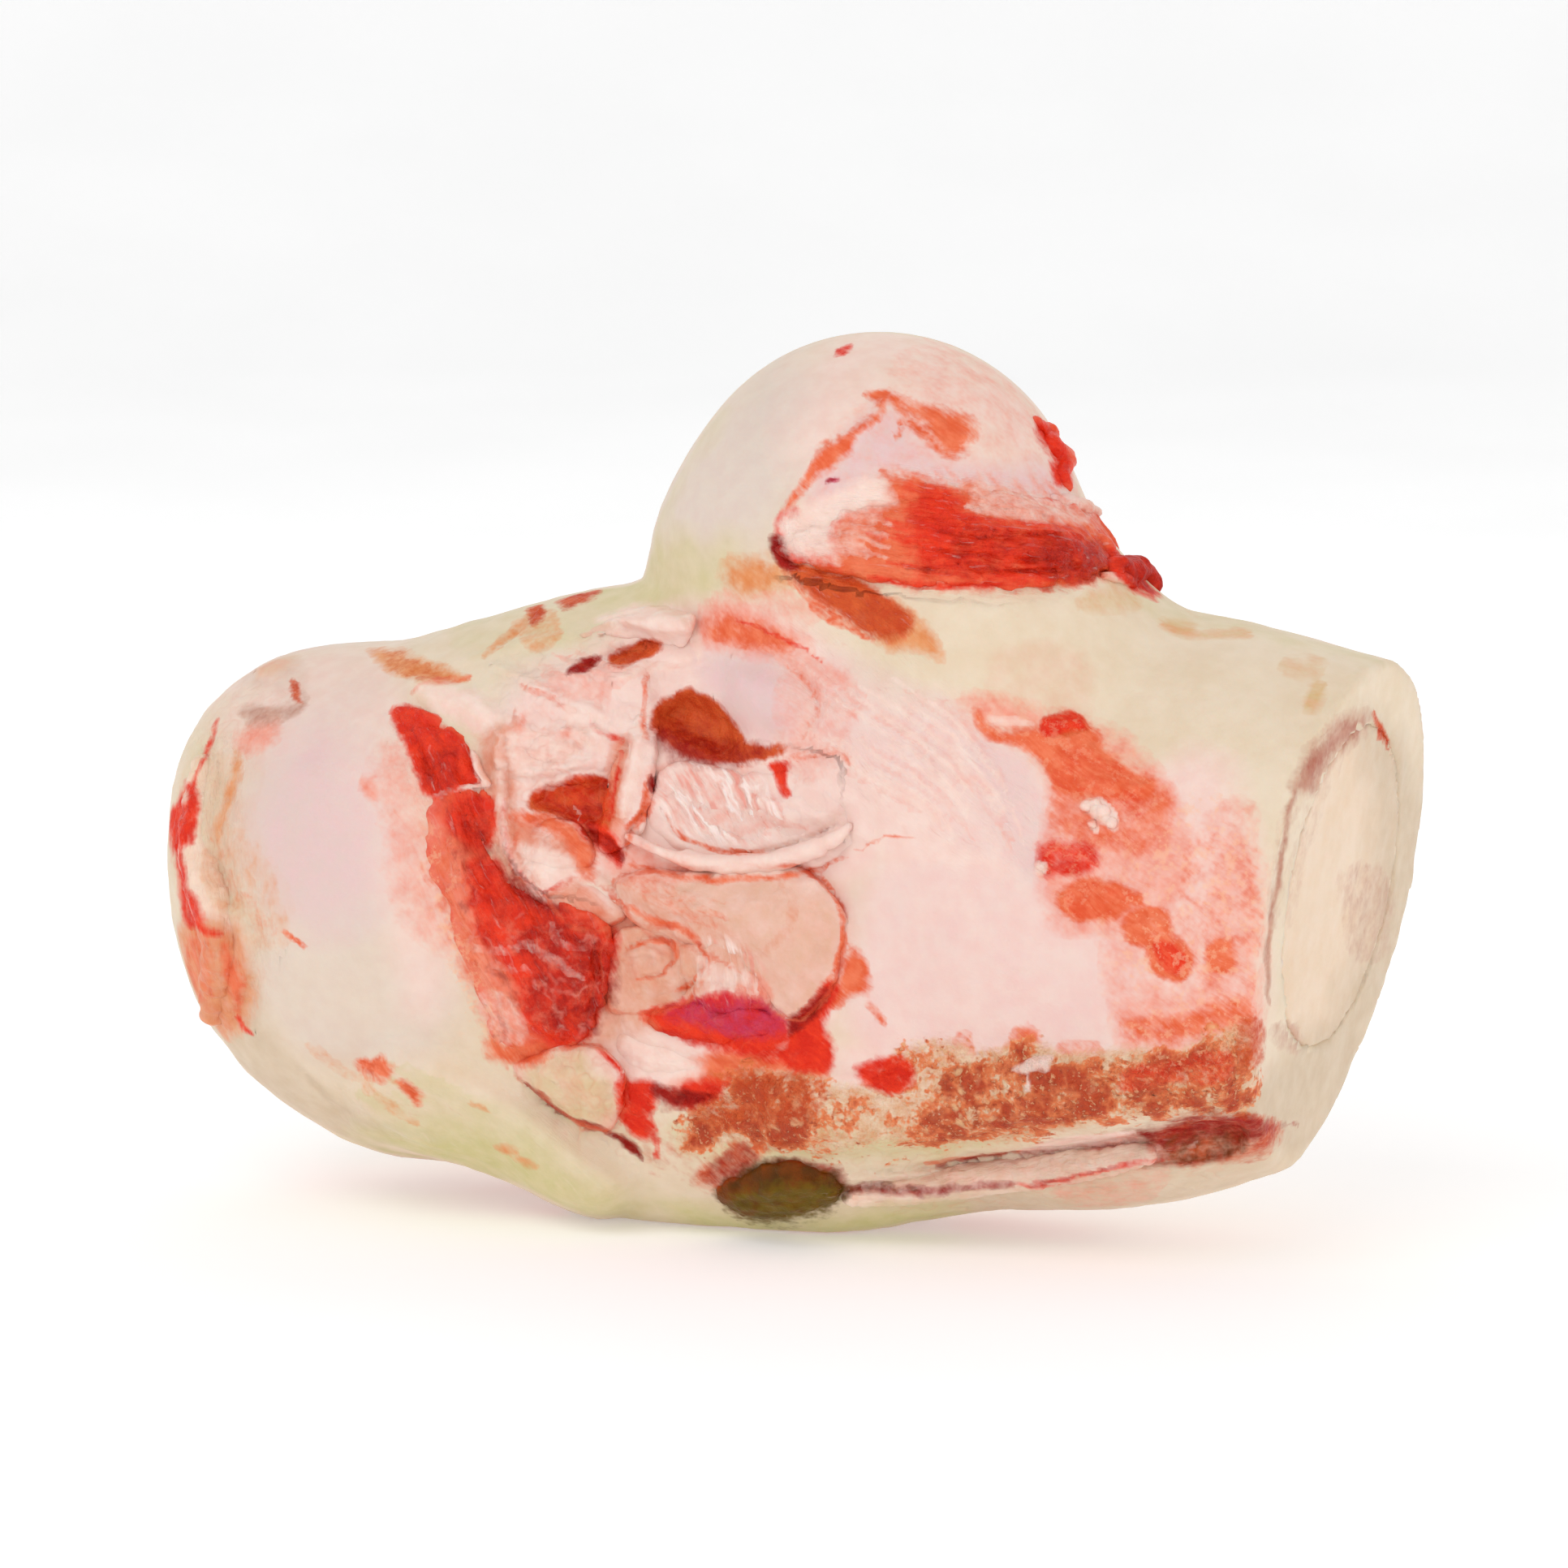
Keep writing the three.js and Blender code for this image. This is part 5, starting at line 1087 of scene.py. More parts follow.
# Each layer's two colours, width of its edge, raggedness, size of the rags in mm, and the
# share of the fibres in the rags
LAYERS = {
    "pearl": ((224, 208, 196), (222, 202, 192), 1, 0.148, 12, 0),
    # Painted shade: darker cream where the bone turns under
    "dusk": ((210, 189, 164), (202, 178, 150), 1, 0.185, 8, 0),
    # Painted shade: greenish cream at the edges that turn away
    "moss": ((218, 205, 160), (206, 197, 140), 1, 0.222, 7, 0),
    "ochre": ((214, 178, 120), (226, 158, 108), 1, 0.315, 2.5, 0),
    "blush": ((243, 215, 204), (240, 204, 193), 1, 0.185, 8, 0),
    "lilac": ((226, 197, 192), (232, 196, 196), 1, 0.185, 7, 0),
    "peach": ((229, 173, 149), (224, 174, 144), 1, 0.27, 3, 0.3),
    "salmon": ((230, 150, 124), (222, 124, 92), 1, 0.36, 3, 0.5),
    "tan": ((232, 160, 108), (224, 136, 78), 1, 0.45, 2, 0.4),
    "rose": ((243, 164, 144), (236, 134, 110), 1, 0.36, 2.4, 0.4),
    "dun": ((180, 116, 94), (198, 146, 124), 0.9, 0.36, 2, 0),
    "orange": ((240, 127, 88), (228, 95, 54), 0.8, 0.405, 2.4, 0.7),
    "rust": ((218, 94, 44), (200, 70, 30), 0.7, 0.36, 2, 0.7),
    "red": ((239, 59, 26), (220, 40, 18), 0.8, 0.36, 2, 0.8),
    "plum": ((204, 30, 54), (200, 66, 100), 0.8, 0.315, 2, 0.5),
    "crimson": ((170, 20, 8), (144, 12, 6), 0.9, 0.36, 1.8, 0.6),
    "umber": ((122, 58, 0), (84, 48, 0), 0.7, 0.45, 1.6, 0),
    "olive": ((118, 94, 12), (98, 78, 0), 0.9, 0.63, 1.4, 0),
    # The seam is partly the pads' orange edge and partly warm shade painted into the gaps round them
    "seam": ((232, 120, 84), (214, 80, 52), 0.9, 0.81, 5, 0.1),
    "fleck": ((247, 222, 210), (243, 206, 192), 0.9, 0.36, 1.4, 0.4),
}
MASKS = ("ridge", "marble", "grains", "fibre", "crinkle", "ribs")
PALE_LAYERS = ("pearl", "dusk", "moss", "ochre", "blush", "lilac", "peach", "salmon", "rose")

# A layer's value where it isn't painted, and the least value that may show
UNPAINTED = -3.0
BARELY_PAINTED = -2.9
# Half width of the strands' and seams' soft edges, and the seams' half width and strength
STRAND_EDGE = 0.5
SEAM_EDGE = 0.7
SEAM_HALF_WIDTH = 0.15
SEAM_STRENGTH = 0.1
# How far the surface of the bone and of soft pieces faces the eye where the paint fades out
# and where it is full
BONE_FACING = (-0.05, 0.2)
SOFT_FACING = (-0.6, -0.3)
FIBRE_STRETCH = 9

# Stains on the sides that the photo hides: size in mm, share, highest strength
STAIN_SEED = 200
STAINS = {
    "blush": (26, -0.3, 0.5),
    "pearl": (22, -0.3, 0.4),
    # greenish painted shade, spread at random
    "moss": (22, -0.9, -0.4),
    "tan": (8, -2.0, -0.2),
    "rose": (14, -1.3, -0.3),
    "orange": (7, -2.2, -0.2),
    # darker painted shade cream, spread at random
    "dusk": (14, -0.9, -0.2),
}


def strand_paths(count, first, last, seed):
    """Paths that fill the room between two guides, each over its own part of their length."""
    dice = np.random.RandomState(seed)
    guides = [smooth_curve(guide, False, 8) for guide in (first, last)]
    for i in range(count):
        t = np.clip((i + dice.uniform(-0.3, 0.3)) / max(count - 1, 1), 0, 1)
        path = guides[0] * (1 - t) + guides[1] * t
        start = int(len(path) * dice.uniform(0, 0.3))
        end = int(len(path) * dice.uniform(0.65, 1))
        yield path[start:end] + dice.uniform(-0.3, 0.3, 2)


def drop_outside(values):
    """Takes what lies outside all forms, near -1, down to -3, where no rag reaches it."""
    return values - 2 * smooth_step(-values, 0.7, 1)


def paint_maps():
    """One map for each layer and mask: from -3 outside to the form's strength inside."""
    maps = {name: sheet.blank(-1) for name in [*LAYERS, *MASKS]}

    def raise_to(layer, strength, soft, form):
        window, distance = form
        value = np.clip(-distance / soft, -1, strength)
        maps[layer][window] = np.maximum(maps[layer][window], value)

    for layer, forms in AREAS.items():
        for soft, strength, outline in forms:
            raise_to(layer, strength, soft, sheet.distance(outline, soft))
    for layer, forms in LINES.items():
        for half_width, soft, strength, path in forms:
            raise_to(layer, strength, soft, sheet.stroke(smooth_curve(path, False), half_width, soft))
    for seed, (layer, strength, _, half_width, count, first, last) in enumerate(STRANDS):
        for path in strand_paths(count, first, last, seed):
            raise_to(layer, strength, STRAND_EDGE, sheet.stroke(path, half_width, STRAND_EDGE))
    # Partly the pads' red edge, partly warm shade painted into the gaps round them
    for name, *_, outline in PADS:
        if name in SEAMED:
            curve = smooth_curve(outline, True)
            seam = sheet.stroke(np.vstack([curve, curve[:1]]), SEAM_HALF_WIDTH, SEAM_EDGE)
            raise_to("seam", SEAM_STRENGTH, SEAM_EDGE, seam)
    return {name: drop_outside(values) for name, values in maps.items()}


def fine_map():
    """Patches, folds and strands as one height map."""
    total = height_map(PATCHES)

    def add(height, half_width, path):
        window, distance = sheet.stroke(path, half_width, 0)
        total[window] += height * np.clip(-distance / half_width, 0, 1) ** 0.8

    for height, half_width, path in FOLDS:
        add(height, half_width, smooth_curve(path, False))
    for seed, (_, _, height, half_width, count, first, last) in enumerate(STRANDS):
        for path in strand_paths(count, first, last, seed):
            add(height, half_width * 1.5, path)
    return total


def grain_map():
    """The direction of the fibres in radians."""
    turns = sheet.blank(math.radians(FIBRES))
    for turn, outline in GRAIN:
        window, distance = sheet.distance(outline, 1)
        turns[window] = np.where(distance < 0, math.radians(turn), turns[window])
    return turns


# Soft pieces, one for each soft solid: name, material, height above the bone, crown in the
# middle, depth in the bone, roundness of the edge, outline
PADS = [
    ("crescent_fold", "fat", -0.9, -0.7, 12, 1.4, [(-20, 55), (-14, 49.6), (-4, 47.8), (6, 49.4), (9, 54),
        (4, 61.5), (-6, 61.5), (-17, 62.5)]),
    ("fat_lobe", "fat", 0.5, 2.2, 12, 1.8, [(-24, 47), (-12, 48.4), (1, 48.6), (6.7, 43), (5.8, 33),
        (0, 27.5), (-7, 34.2), (-22, 41.4)]),
    ("gristle_nub", "gristle", -0.8, 2.4, 12, 1.6, [(-38.5, 48.5), (-36, 54.6), (-29, 54.8), (-27, 49.5),
        (-33, 45.2)]),
    ("strip_upright", "fat", -0.3, 0.5, 12, 1.0, [(-21.6, 69), (-18.8, 69), (-19, 60), (-21.6, 52),
        (-26, 51), (-25, 61)]),
    ("pad_upper", "fat", -1.4, 1.8, 12, 1.0, [(-40.5, 67.5), (-32, 71), (-24, 69.8), (-26.6, 60),
        (-36, 58.8), (-41, 62)]),
    ("pad_small", "gristle", -0.4, 1.2, 12, 1.4, [(-33, 45.4), (-28, 47), (-22.6, 42), (-27, 40),
        (-32, 42)]),
    ("ear_fold", "fat", -0.2, 1.4, 12, 1.2, [(-24.6, 39.6), (-16, 40.4), (-11.6, 35), (-15, 30),
        (-24.4, 28.8), (-26, 34)]),
    ("muscle_slip", "meat_dark", 0.5, 1.8, 12, 1.2, [(-20.5, 27.6), (-10, 31), (-0.5, 27), (-10, 24.8)]),
    ("pad_lower", "fat", -0.8, 1.8, 12, 1.2, [(-24, 26), (-13, 24), (-9, 21.4), (-16, 18.8), (-23, 20.6)]),
    ("muscle_band", "meat", 0.2, 2.2, 8, 1.0, [(-54, 70.5), (-45, 66.5), (-41, 58), (-40, 49), (-30, 43.4),
        (-24.4, 40), (-26, 30), (-30, 24), (-39, 22.5), (-45, 35), (-49.6, 48), (-51, 60)]),
    ("pad_wedge", "fat", 1.4, 1.8, 8, 1.4, [(-38, 21.6), (-27, 24.4), (-23, 21), (-24.6, 13), (-31, 14.6)]),
    ("neck_flap", "fat", 0.2, 0.8, 6, 1.0, [(-29, 80), (-21, 83.6), (-13.6, 82.6), (-15, 78.6),
        (-22, 79.6)]),
    ("neck_meat", "meat", 0.4, 2.2, 4, 1, [(-2.4, 91.6), (10, 87.6), (24, 86.6), (37, 87), (43.5, 89.6),
        (42, 96.4), (33, 98.8), (25, 99.6), (17, 99), (5, 96)]),
    ("gland", "gland", 0.5, 1.8, 3, 1.6, [(-11, 4.2), (-4.4, 8.6), (4, 8), (7, 4.6), (0, 1), (-7.6, 1.4)]),
]
# Where a pad ends at the back, in mm out of the sheet, if not 3 behind its outline
PAD_BACK = {"neck_meat": 7}
# Pads whose edge shows a broken red line. The line also paints warm shade into the narrow gaps round them
SEAMED = ("fat_lobe", "gristle_nub", "pad_small", "ear_fold", "pad_wedge")
CROWN_REACH = 7
PAD_MARGIN = 12
# The crescent's raised rim: lift, radius, path, thickness of its ends
CRESCENT_RIM = (0.4, 1.4, [(-22.4, 52.6), (-17, 50.4), (-12.5, 49.2), (-8, 48.8), (-3, 49.4), (2, 50.8),
                           (5.4, 52.4), (7.6, 54.2)], 0.25)

paint = paint_maps()
fine_relief = fine_map()
grain_turns = grain_map()

# Strips along paths: name, material, lift, radius, path
STRIPS = [
    ("neck_shred", "meat_dark", 0.2, 1.9, [(43, 89), (45, 88.6), (46.8, 88.6), (48.8, 86.8)]),
    ("tendon_strip", "tendon", -0.4, 2.4, [(8, 4), (28, 6.6), (48, 9.6)]),
    ("end_ligament", "tendon", -0.6, 3.2, [(-80, 62), (-80.4, 50), (-77.6, 39), (-78.6, 29)]),
]

# Small scraps that are part of no solid: name, material, lift, radius, path
SCRAPS = [
    ("head_tatter", "meat", 0.2, 1.2, [(33, 109), (34.8, 107.6), (35.2, 105.6), (36.8, 104), (36.4, 101.6),
        (37.2, 100)]),
    ("fascia_tatter", "fat", 0.2, 1.1, [(35, 98.6), (38.4, 97.8), (41, 96.8)]),
    ("neck_tatter", "meat", 0.2, 1.4, [(38, 93), (41.4, 92.4), (43, 90.6)]),
    ("shred_fat", "fat", 0.6, 0.9, [(42, 88), (44, 87.8), (46, 87)]),
    ("band_flake", "fat", 0.9, 0.6, [(-43.4, 64), (-42.6, 61.6), (-41.6, 59.8), (-44.6, 59.4)]),
]

# Crumbs of fat on the shaft: place on the sheet and radius
CRUMBS = [(39.6, 56.8, 0.8), (41, 57.2, 0.6), (42, 56, 1.0), (43.2, 54.6, 0.8), (40.4, 54.2, 0.6),
          (33.4, 48.8, 0.7), (34.2, 48, 0.5)]

# How each kind of tissue is rumpled: height and size of the bumps in mm, stretch along the
# grain, and the grain's direction on the sheet in degrees
TISSUES = {
    "fat": (0.32, 1.8, 2, -35),
    "gristle": (0.15, 3, 1, 0),
    "meat": (0.45, 1.6, 3, -40),
    "meat_dark": (0.5, 1.7, 2, 0),
    "gland": (0.3, 1.8, 1, 0),
    "tendon": (0.3, 1.4, 6, 5),
}


def tissue_noise(p, kind, seed):
    """Bumps that run along the tissue's grain."""
    height, size, stretch, grain = TISSUES[kind]
    u, v, out = on_sheet(p)
    turn = math.radians(grain)
    along = (u * math.cos(turn) + v * math.sin(turn)) / stretch
    across = v * math.cos(turn) - u * math.sin(turn)
    return height * noise(np.stack([along, across, out], axis=1), size, seed)


def tube_field(lift, radius, path, ends=0.6):
    """A tube along a path that lies on the bone, thinner at its two ends."""
    curve = smooth_curve([on_bone(place, lift) for place in path], False, 12)
    t = np.linspace(0, 1, len(curve))
    radii = radius * (ends + (1 - ends) * np.sin(np.pi * t) ** 0.8)

    def field(p):
        nearest = np.full(len(p), FAR)
        for centre, r in zip(curve, radii):
            nearest = np.minimum(nearest, ball(p, centre, r))
        return nearest
    return field


def crumb_field():
    """The crumbs: balls that touch each other."""
    balls = [(on_bone((u, v), 0.6), radius) for u, v, radius in CRUMBS]

    def field(p):
        nearest = np.full(len(p), FAR)
        for centre, radius in balls:
            nearest = smooth_min(nearest, ball(p, centre, radius), 0.3)
        return nearest
    return field


def joined(one, two, blend):
    """Two fields as one."""
    def field(p):
        return smooth_min(one(p), two(p), blend)
    return field


def pad_field(outline, height, crown, sink, edge, back):
    """A pad inside an outline, with a rounded edge and a crowned or hollow top."""
    side_map = sheet.blank(FAR)
    window, distance = sheet.distance(outline, PAD_MARGIN)
    side_map[window] = distance
    depths = [on_sheet(on_bone(place, 0)[None, :])[2][0] for place in outline]
    limit = min(depths) - 3 if back is None else back

    def field(p):
        u, v, out = on_sheet(p)
        side = sheet.read(side_map, u, v)
        plain = plain_field(p)
        top = plain - height - crown * rise(side, CROWN_REACH) - sheet.read(fine_relief, u, v)
        solid = smooth_max(smooth_max(top, side, edge), -plain - sink, edge)
        return smooth_max(solid, limit - out, edge)
    return field


def under_bone(field, kind, seed):
    """The piece's field, rumpled, and cut off just under the bone's surface."""
    def trimmed(p):
        rumpled = field(p) - tissue_noise(p, kind, seed)
        return smooth_max(rumpled, -bone_field(p) - SINK_UNDER_BONE, 0.4)
    return trimmed


# Materials

# Each tissue's two ground colours, roughness, coat, and the height of its fine grain in mm
GROUNDS = {
    "bone": ((233, 215, 191), (227, 206, 178), 0.5, 0.04, 0.023),
    "marrow": ((236, 213, 190), (231, 204, 176), 0.55, 0.04, 0.0276),
    "fat": ((241, 204, 188), (237, 184, 164), 0.42, 0.12, 0.0322),
    "gristle": ((242, 208, 196), (238, 184, 164), 0.32, 0.2, 0.0138),
    "meat": ((228, 48, 26), (236, 90, 56), 0.38, 0.1, 0.0552),
    "meat_dark": ((216, 36, 14), (180, 20, 8), 0.45, 0.0, 0.0575),
    "gland": ((124, 64, 4), (90, 54, 0), 0.5, 0.0, 0.069),
    "tendon": ((246, 222, 204), (242, 208, 184), 0.4, 0.1, 0.0276),
}

# Colours of what is too fine to be painted
TINTS = {
    "bare_ridge": (238, 212, 182),
    "tan_ridge": (222, 158, 112),
    "light_rust": (234, 130, 78),
    "deep_rust": (190, 62, 24),
    "pit": (158, 42, 12),
    "granule_rim": (166, 50, 18),
    "granule_core": (242, 198, 150),
    "fine_granule": (240, 184, 136),
    "pale_thread": (252, 226, 214),
    "dark_thread": (206, 72, 50),
    # warm painted shade in the valleys of the small folds
    "crease": (230, 124, 92),
    "pale_rib": (253, 232, 224),
    "pink_rib": (238, 148, 132),
    "pale_meat": (238, 124, 98),
    "dark_meat": (150, 22, 20),
    "vein": (232, 140, 124),
    "fatty_grain": (246, 190, 152),
    "mottle": (216, 170, 138),
    "floor": (250, 250, 250),
    "floor_shade": (247, 247, 247),
}
RED_TISSUES = ("meat", "meat_dark", "gland")
RIDGE_TISSUES = ("bone", "tendon")
WET_LAYERS = ("rust", "red", "plum", "crimson")
# Rags wider than this many mm need no fine detail
WIDE_RAGS = 6
WIDE_LAYERS = {name for name, layer in LAYERS.items() if layer[4] > WIDE_RAGS}


def linear(colour):
    """An sRGB colour of 0 to 255 as the shader's linear colour."""
    part = np.array(colour) / 255
    value = np.where(part <= 0.04045, part / 12.92, ((part + 0.055) / 1.055) ** 2.4)
    return (*value.tolist(), 1)


class Shader:
    """A material's node tree, with short calls for the nodes that repeat."""

    def __init__(self, name):
        self.material = bpy.data.materials.new(name)
        self.material.use_nodes = True
        self.tree = self.material.node_tree
        self.tree.nodes.clear()
        self.place = self.add("ShaderNodeTexCoord").outputs["Object"]

    def add(self, kind, inputs=None, **settings):
        node = self.tree.nodes.new(kind)
        for key, value in settings.items():
            setattr(node, key, value)
        for key, value in (inputs or {}).items():
            if isinstance(value, bpy.types.NodeSocket):
                self.tree.links.new(value, node.inputs[key])
            else:
                node.inputs[key].default_value = value
        return node

    def math(self, operation, a, b=0.0, c=0.0):
        return self.add("ShaderNodeMath", {0: a, 1: b, 2: c}, operation=operation).outputs[0]

    def times(self, first, *others):
        for other in others:
            first = self.math("MULTIPLY", first, other)
        return first

    def more(self, value, share, other):
        """The value and a share of the other."""
        return self.math("MULTIPLY_ADD", other, share, value)

    def noise(self, size, detail=3, place=None, roughness=0.5):
        """Noise around 0, with bumps of a size in mm."""
        inputs = {"Vector": place or self.place, "Scale": 1 / (size * MM), "Detail": detail,
                  "Roughness": roughness}
        fac = self.add("ShaderNodeTexNoise", inputs).outputs[0]
        return self.math("MULTIPLY_ADD", fac, 4, -2)

    def warped(self, size, amount):
        """The object's coordinates, pushed about by noise, in mm."""
        inputs = {"Vector": self.place, "Scale": 1 / (size * MM), "Detail": 2}
        crook = self.add("ShaderNodeTexNoise", inputs).outputs["Color"]
        offset = self.add("ShaderNodeVectorMath", {0: crook, 1: (amount * MM,) * 3}, operation="MULTIPLY")
        return self.add("ShaderNodeVectorMath", {0: self.place, 1: offset.outputs[0]}).outputs[0]

    def cells(self, size, feature, place):
        inputs = {"Vector": place, "Scale": 1 / (size * MM)}
        return self.add("ShaderNodeTexVoronoi", inputs, feature=feature).outputs["Distance"]

    def attribute(self, name, output="Fac"):
        return self.add("ShaderNodeAttribute", attribute_name=name).outputs[output]

    def step(self, value, low, high, top=1.0):
        inputs = {"Value": value, "From Min": low, "From Max": high, "To Min": 0, "To Max": top}
        return self.add("ShaderNodeMapRange", inputs, interpolation_type="SMOOTHSTEP").outputs[0]

    def mask(self, name, low=-1, high=1):
        return self.step(self.attribute(name), low, high)

    def mix(self, factor, a, b):
        """From colour a to colour b. Each is a socket, a tint's name or an sRGB colour."""
        node = self.add("ShaderNodeMix", {0: factor}, data_type="RGBA")
        for socket, value in ((node.inputs[6], a), (node.inputs[7], b)):
            if isinstance(value, bpy.types.NodeSocket):
                self.tree.links.new(value, socket)
            else:
                socket.default_value = linear(TINTS[value] if isinstance(value, str) else value)
        return node.outputs[2]

    def finish(self, inputs):
        """The material, with one shader that has these inputs."""
        shader = self.add("ShaderNodeBsdfPrincipled", inputs)
        output = self.add("ShaderNodeOutputMaterial")
        self.tree.links.new(shader.outputs[0], output.inputs["Surface"])
        return self.material


def never_shows(kind, layer):
    """Red tissues stay free of the pale layers, apart from rose."""
    return kind in RED_TISSUES and layer in PALE_LAYERS and layer != "rose"


class Tissue(Shader):
    """Raw tissue: its ground colour, the painted layers over it, moist gloss and fine grain.

    Layers and masks that aren't shown are left out, which makes the render faster.
    """

    def __init__(self, name, kind, shown):
        super().__init__(name)
        self.kind = kind
        self.shown = shown
        fibres = self.attribute("grain", "Vector")
        self.broad = self.noise(11, 2)
        self.small = self.noise(2.6, 3)
        self.fine = self.noise(0.6, 2)
        self.threads = self.noise(0.75, 3, fibres, 0.65)
        self.rib = self.noise(1.2, 2, fibres)
        self.granules = self.cells(2.6, "F1", self.warped(2.5, 3))
        self.folds = self.math("ABSOLUTE", self.noise(4.6, 2, roughness=0.6))

    def paint(self, colour):
        """The painted layers over a colour, each with ragged edges and two shades."""
        for name, layer in LAYERS.items():
            if name in self.shown:
                colour = self.layer(colour, name, *layer)
            if name == "orange" and "ridge" in self.shown and self.kind in RIDGE_TISSUES:
                colour = self.ridge(colour)
        return colour

    def layer(self, colour, name, first, second, edge, ragged, size, fibrous):
        wide = size > WIDE_RAGS
        rag = self.noise(size, 1 if wide else 2, roughness=0.6)
        if not wide:
            rag = self.more(rag, 0.25, self.fine)
        shade = self.small
        if fibrous:
            rag = self.more(rag, fibrous, self.threads)
            shade = self.more(shade, fibrous, self.threads)
        value = self.more(self.attribute(name), ragged, rag)
        shades = self.mix(self.step(shade, -1, 1), first, second)
        return self.mix(self.step(value, -edge, edge), colour, shades)

    def ridge(self, colour):
        """The rough ridge: rust-coloured blotches, paler granules with dark rims, and bare gaps."""
        mask = self.attribute("ridge")
        blotch = self.more(mask, 1.3, self.noise(4.5, 3, roughness=0.7))
        bare = self.mix(self.step(self.noise(2, 3, roughness=0.7), -1, 1), "bare_ridge", "tan_ridge")
        colour = self.mix(self.step(self.more(mask, 0.2, self.fine), -0.3, 0.4), colour, bare)
        rough = self.mix(self.step(blotch, 0.3, 1.3), "light_rust", "deep_rust")
        pits = self.math("ADD", self.fine, self.noise(1.8, 3, roughness=0.7))
        rough = self.mix(self.step(pits, 0.1, 1.3, 0.9), rough, "pit")
        some = self.step(self.noise(5, 2), -0.2, 0.6)
        rough = self.mix(self.times(self.step(self.granules, 0.55, 0.8), some, 0.7), rough, "granule_rim")
        rough = self.mix(self.times(self.step(self.granules, 0.4, 0.15), some, 0.8), rough, "granule_core")
        tiny = self.more(self.noise(1.2, 3, roughness=0.7), 0.5, self.fine)
        rough = self.mix(self.step(tiny, 0.3, 1.0, 0.7), rough, "fine_granule")
        return self.mix(self.step(self.more(blotch, 0.3, self.fine), 0.05, 0.5, 0.95), colour, rough)

    def marbling(self, colour):
        """Meat with pale and dark patches, and veins of fat between them."""
        marble = self.mask("marble")
        pale = self.step(self.noise(2.2, 4, roughness=0.65), -0.1, 1.1, 0.6)
        colour = self.mix(self.times(pale, marble), colour, "pale_meat")
        dark = self.step(self.noise(3, 3, roughness=0.6), 0.0, 1.0, 0.6)
        colour = self.mix(self.times(dark, marble), colour, "dark_meat")
        veins = self.step(self.cells(6, "DISTANCE_TO_EDGE", self.warped(3, 4)), 0.07, 0.0)
        some = self.step(self.small, -0.2, 0.8)
        return self.mix(self.times(veins, some, marble, 0.6), colour, "vein")

    def details(self, colour):
        """Threads, creases, ribs, marbling, fatty grains and a faint mottle over the paint."""
        if "fibre" in self.shown:
            fibre = self.mask("fibre")
            pale = self.times(self.step(self.threads, 0.3, 1.4, 0.45), fibre)
            colour = self.mix(pale, colour, "pale_thread")
            dark = self.times(self.step(self.threads, -0.4, -1.5, 0.45), fibre)
            colour = self.mix(dark, colour, "dark_thread")
        if "crinkle" in self.shown:
            # Warm painted shade in the valleys of the small folds
            crease = self.times(self.step(self.folds, 0.2, 0.0), self.step(self.broad, -0.8, 0.6))
            colour = self.mix(self.times(crease, self.mask("crinkle"), 0.2), colour, "crease")
        if "ribs" in self.shown and self.kind == "fat":
            ribs = self.mask("ribs")
            colour = self.mix(self.times(self.step(self.rib, 0.0, 0.5, 0.95), ribs), colour, "pale_rib")
            colour = self.mix(self.times(self.step(self.rib, -0.1, -0.7, 0.7), ribs), colour, "pink_rib")
        if "marble" in self.shown and self.kind == "meat":
            colour = self.marbling(colour)
        if "grains" in self.shown:
            speck = self.more(self.noise(2, 2), 1.2, self.noise(0.8, 3, roughness=0.7))
            grains = self.times(self.step(speck, 0.1, 1), self.mask("grains"), 0.55)
            colour = self.mix(grains, colour, "fatty_grain")
        return self.mix(self.step(self.noise(3.4, 3, roughness=0.75), 0.25, 1.6, 0.14), colour, "mottle")

    def height(self, grain):
        """The relief that is too fine for the mesh, in mm."""
        parts = []
        wet = 0.0
        for name in WET_LAYERS:
            if name in self.shown:
                edge = LAYERS[name][2]
                wet = self.math("MAXIMUM", wet, self.mask(name, -edge, edge))
        if wet:
            parts.append(self.times(wet, self.noise(0.8, 2, roughness=0.7), 0.09))
        if "fibre" in self.shown:
            parts.append(self.times(self.mask("fibre"), self.threads, 0.09))
        if "crinkle" in self.shown:
            parts.append(self.times(self.mask("crinkle"), self.math("MINIMUM", self.folds, 0.6), 0.45))
        if "ribs" in self.shown and self.kind == "fat":
            parts.append(self.times(self.mask("ribs"), self.rib, 0.14))
        if "ridge" in self.shown and self.kind in RIDGE_TISSUES:
            lumps = self.more(self.noise(1.2, 3, roughness=0.7), -0.8, self.granules)
            parts.append(self.times(self.mask("ridge", -0.6, 0.8), lumps, 0.3))
        total = self.times(self.noise(1.0, 3, roughness=0.6), grain)
        for part in parts:
            total = self.math("ADD", total, part)
        return total


def tissue_material(name, kind, shown):
    ground, other, roughness, coat, grain = GROUNDS[kind]
    s = Tissue(name, kind, shown)
    colour = s.mix(s.step(s.more(s.broad, 0.7, s.small), -1.2, 1.2), ground, other)
    bump = {"Height": s.height(grain), "Distance": MM, "Strength": 1}
    return s.finish({
        "Base Color": s.details(s.paint(colour)),
        "Roughness": s.math("MULTIPLY_ADD", s.noise(3, 2), 0.05, roughness),
        "Subsurface Weight": 0.15,
        "Subsurface Radius": (1.0, 0.35, 0.2),
        "Subsurface Scale": 1.2 * MM,
        "Specular IOR Level": 0.15,
        "Coat Weight": coat,
        "Coat Roughness": 0.15,
        "Coat IOR": 1.3,
        "Normal": s.add("ShaderNodeBump", bump).outputs[0],
    })



# Pieces

# Each piece's mesh, its tissue, and where each layer shows on it
painted = []


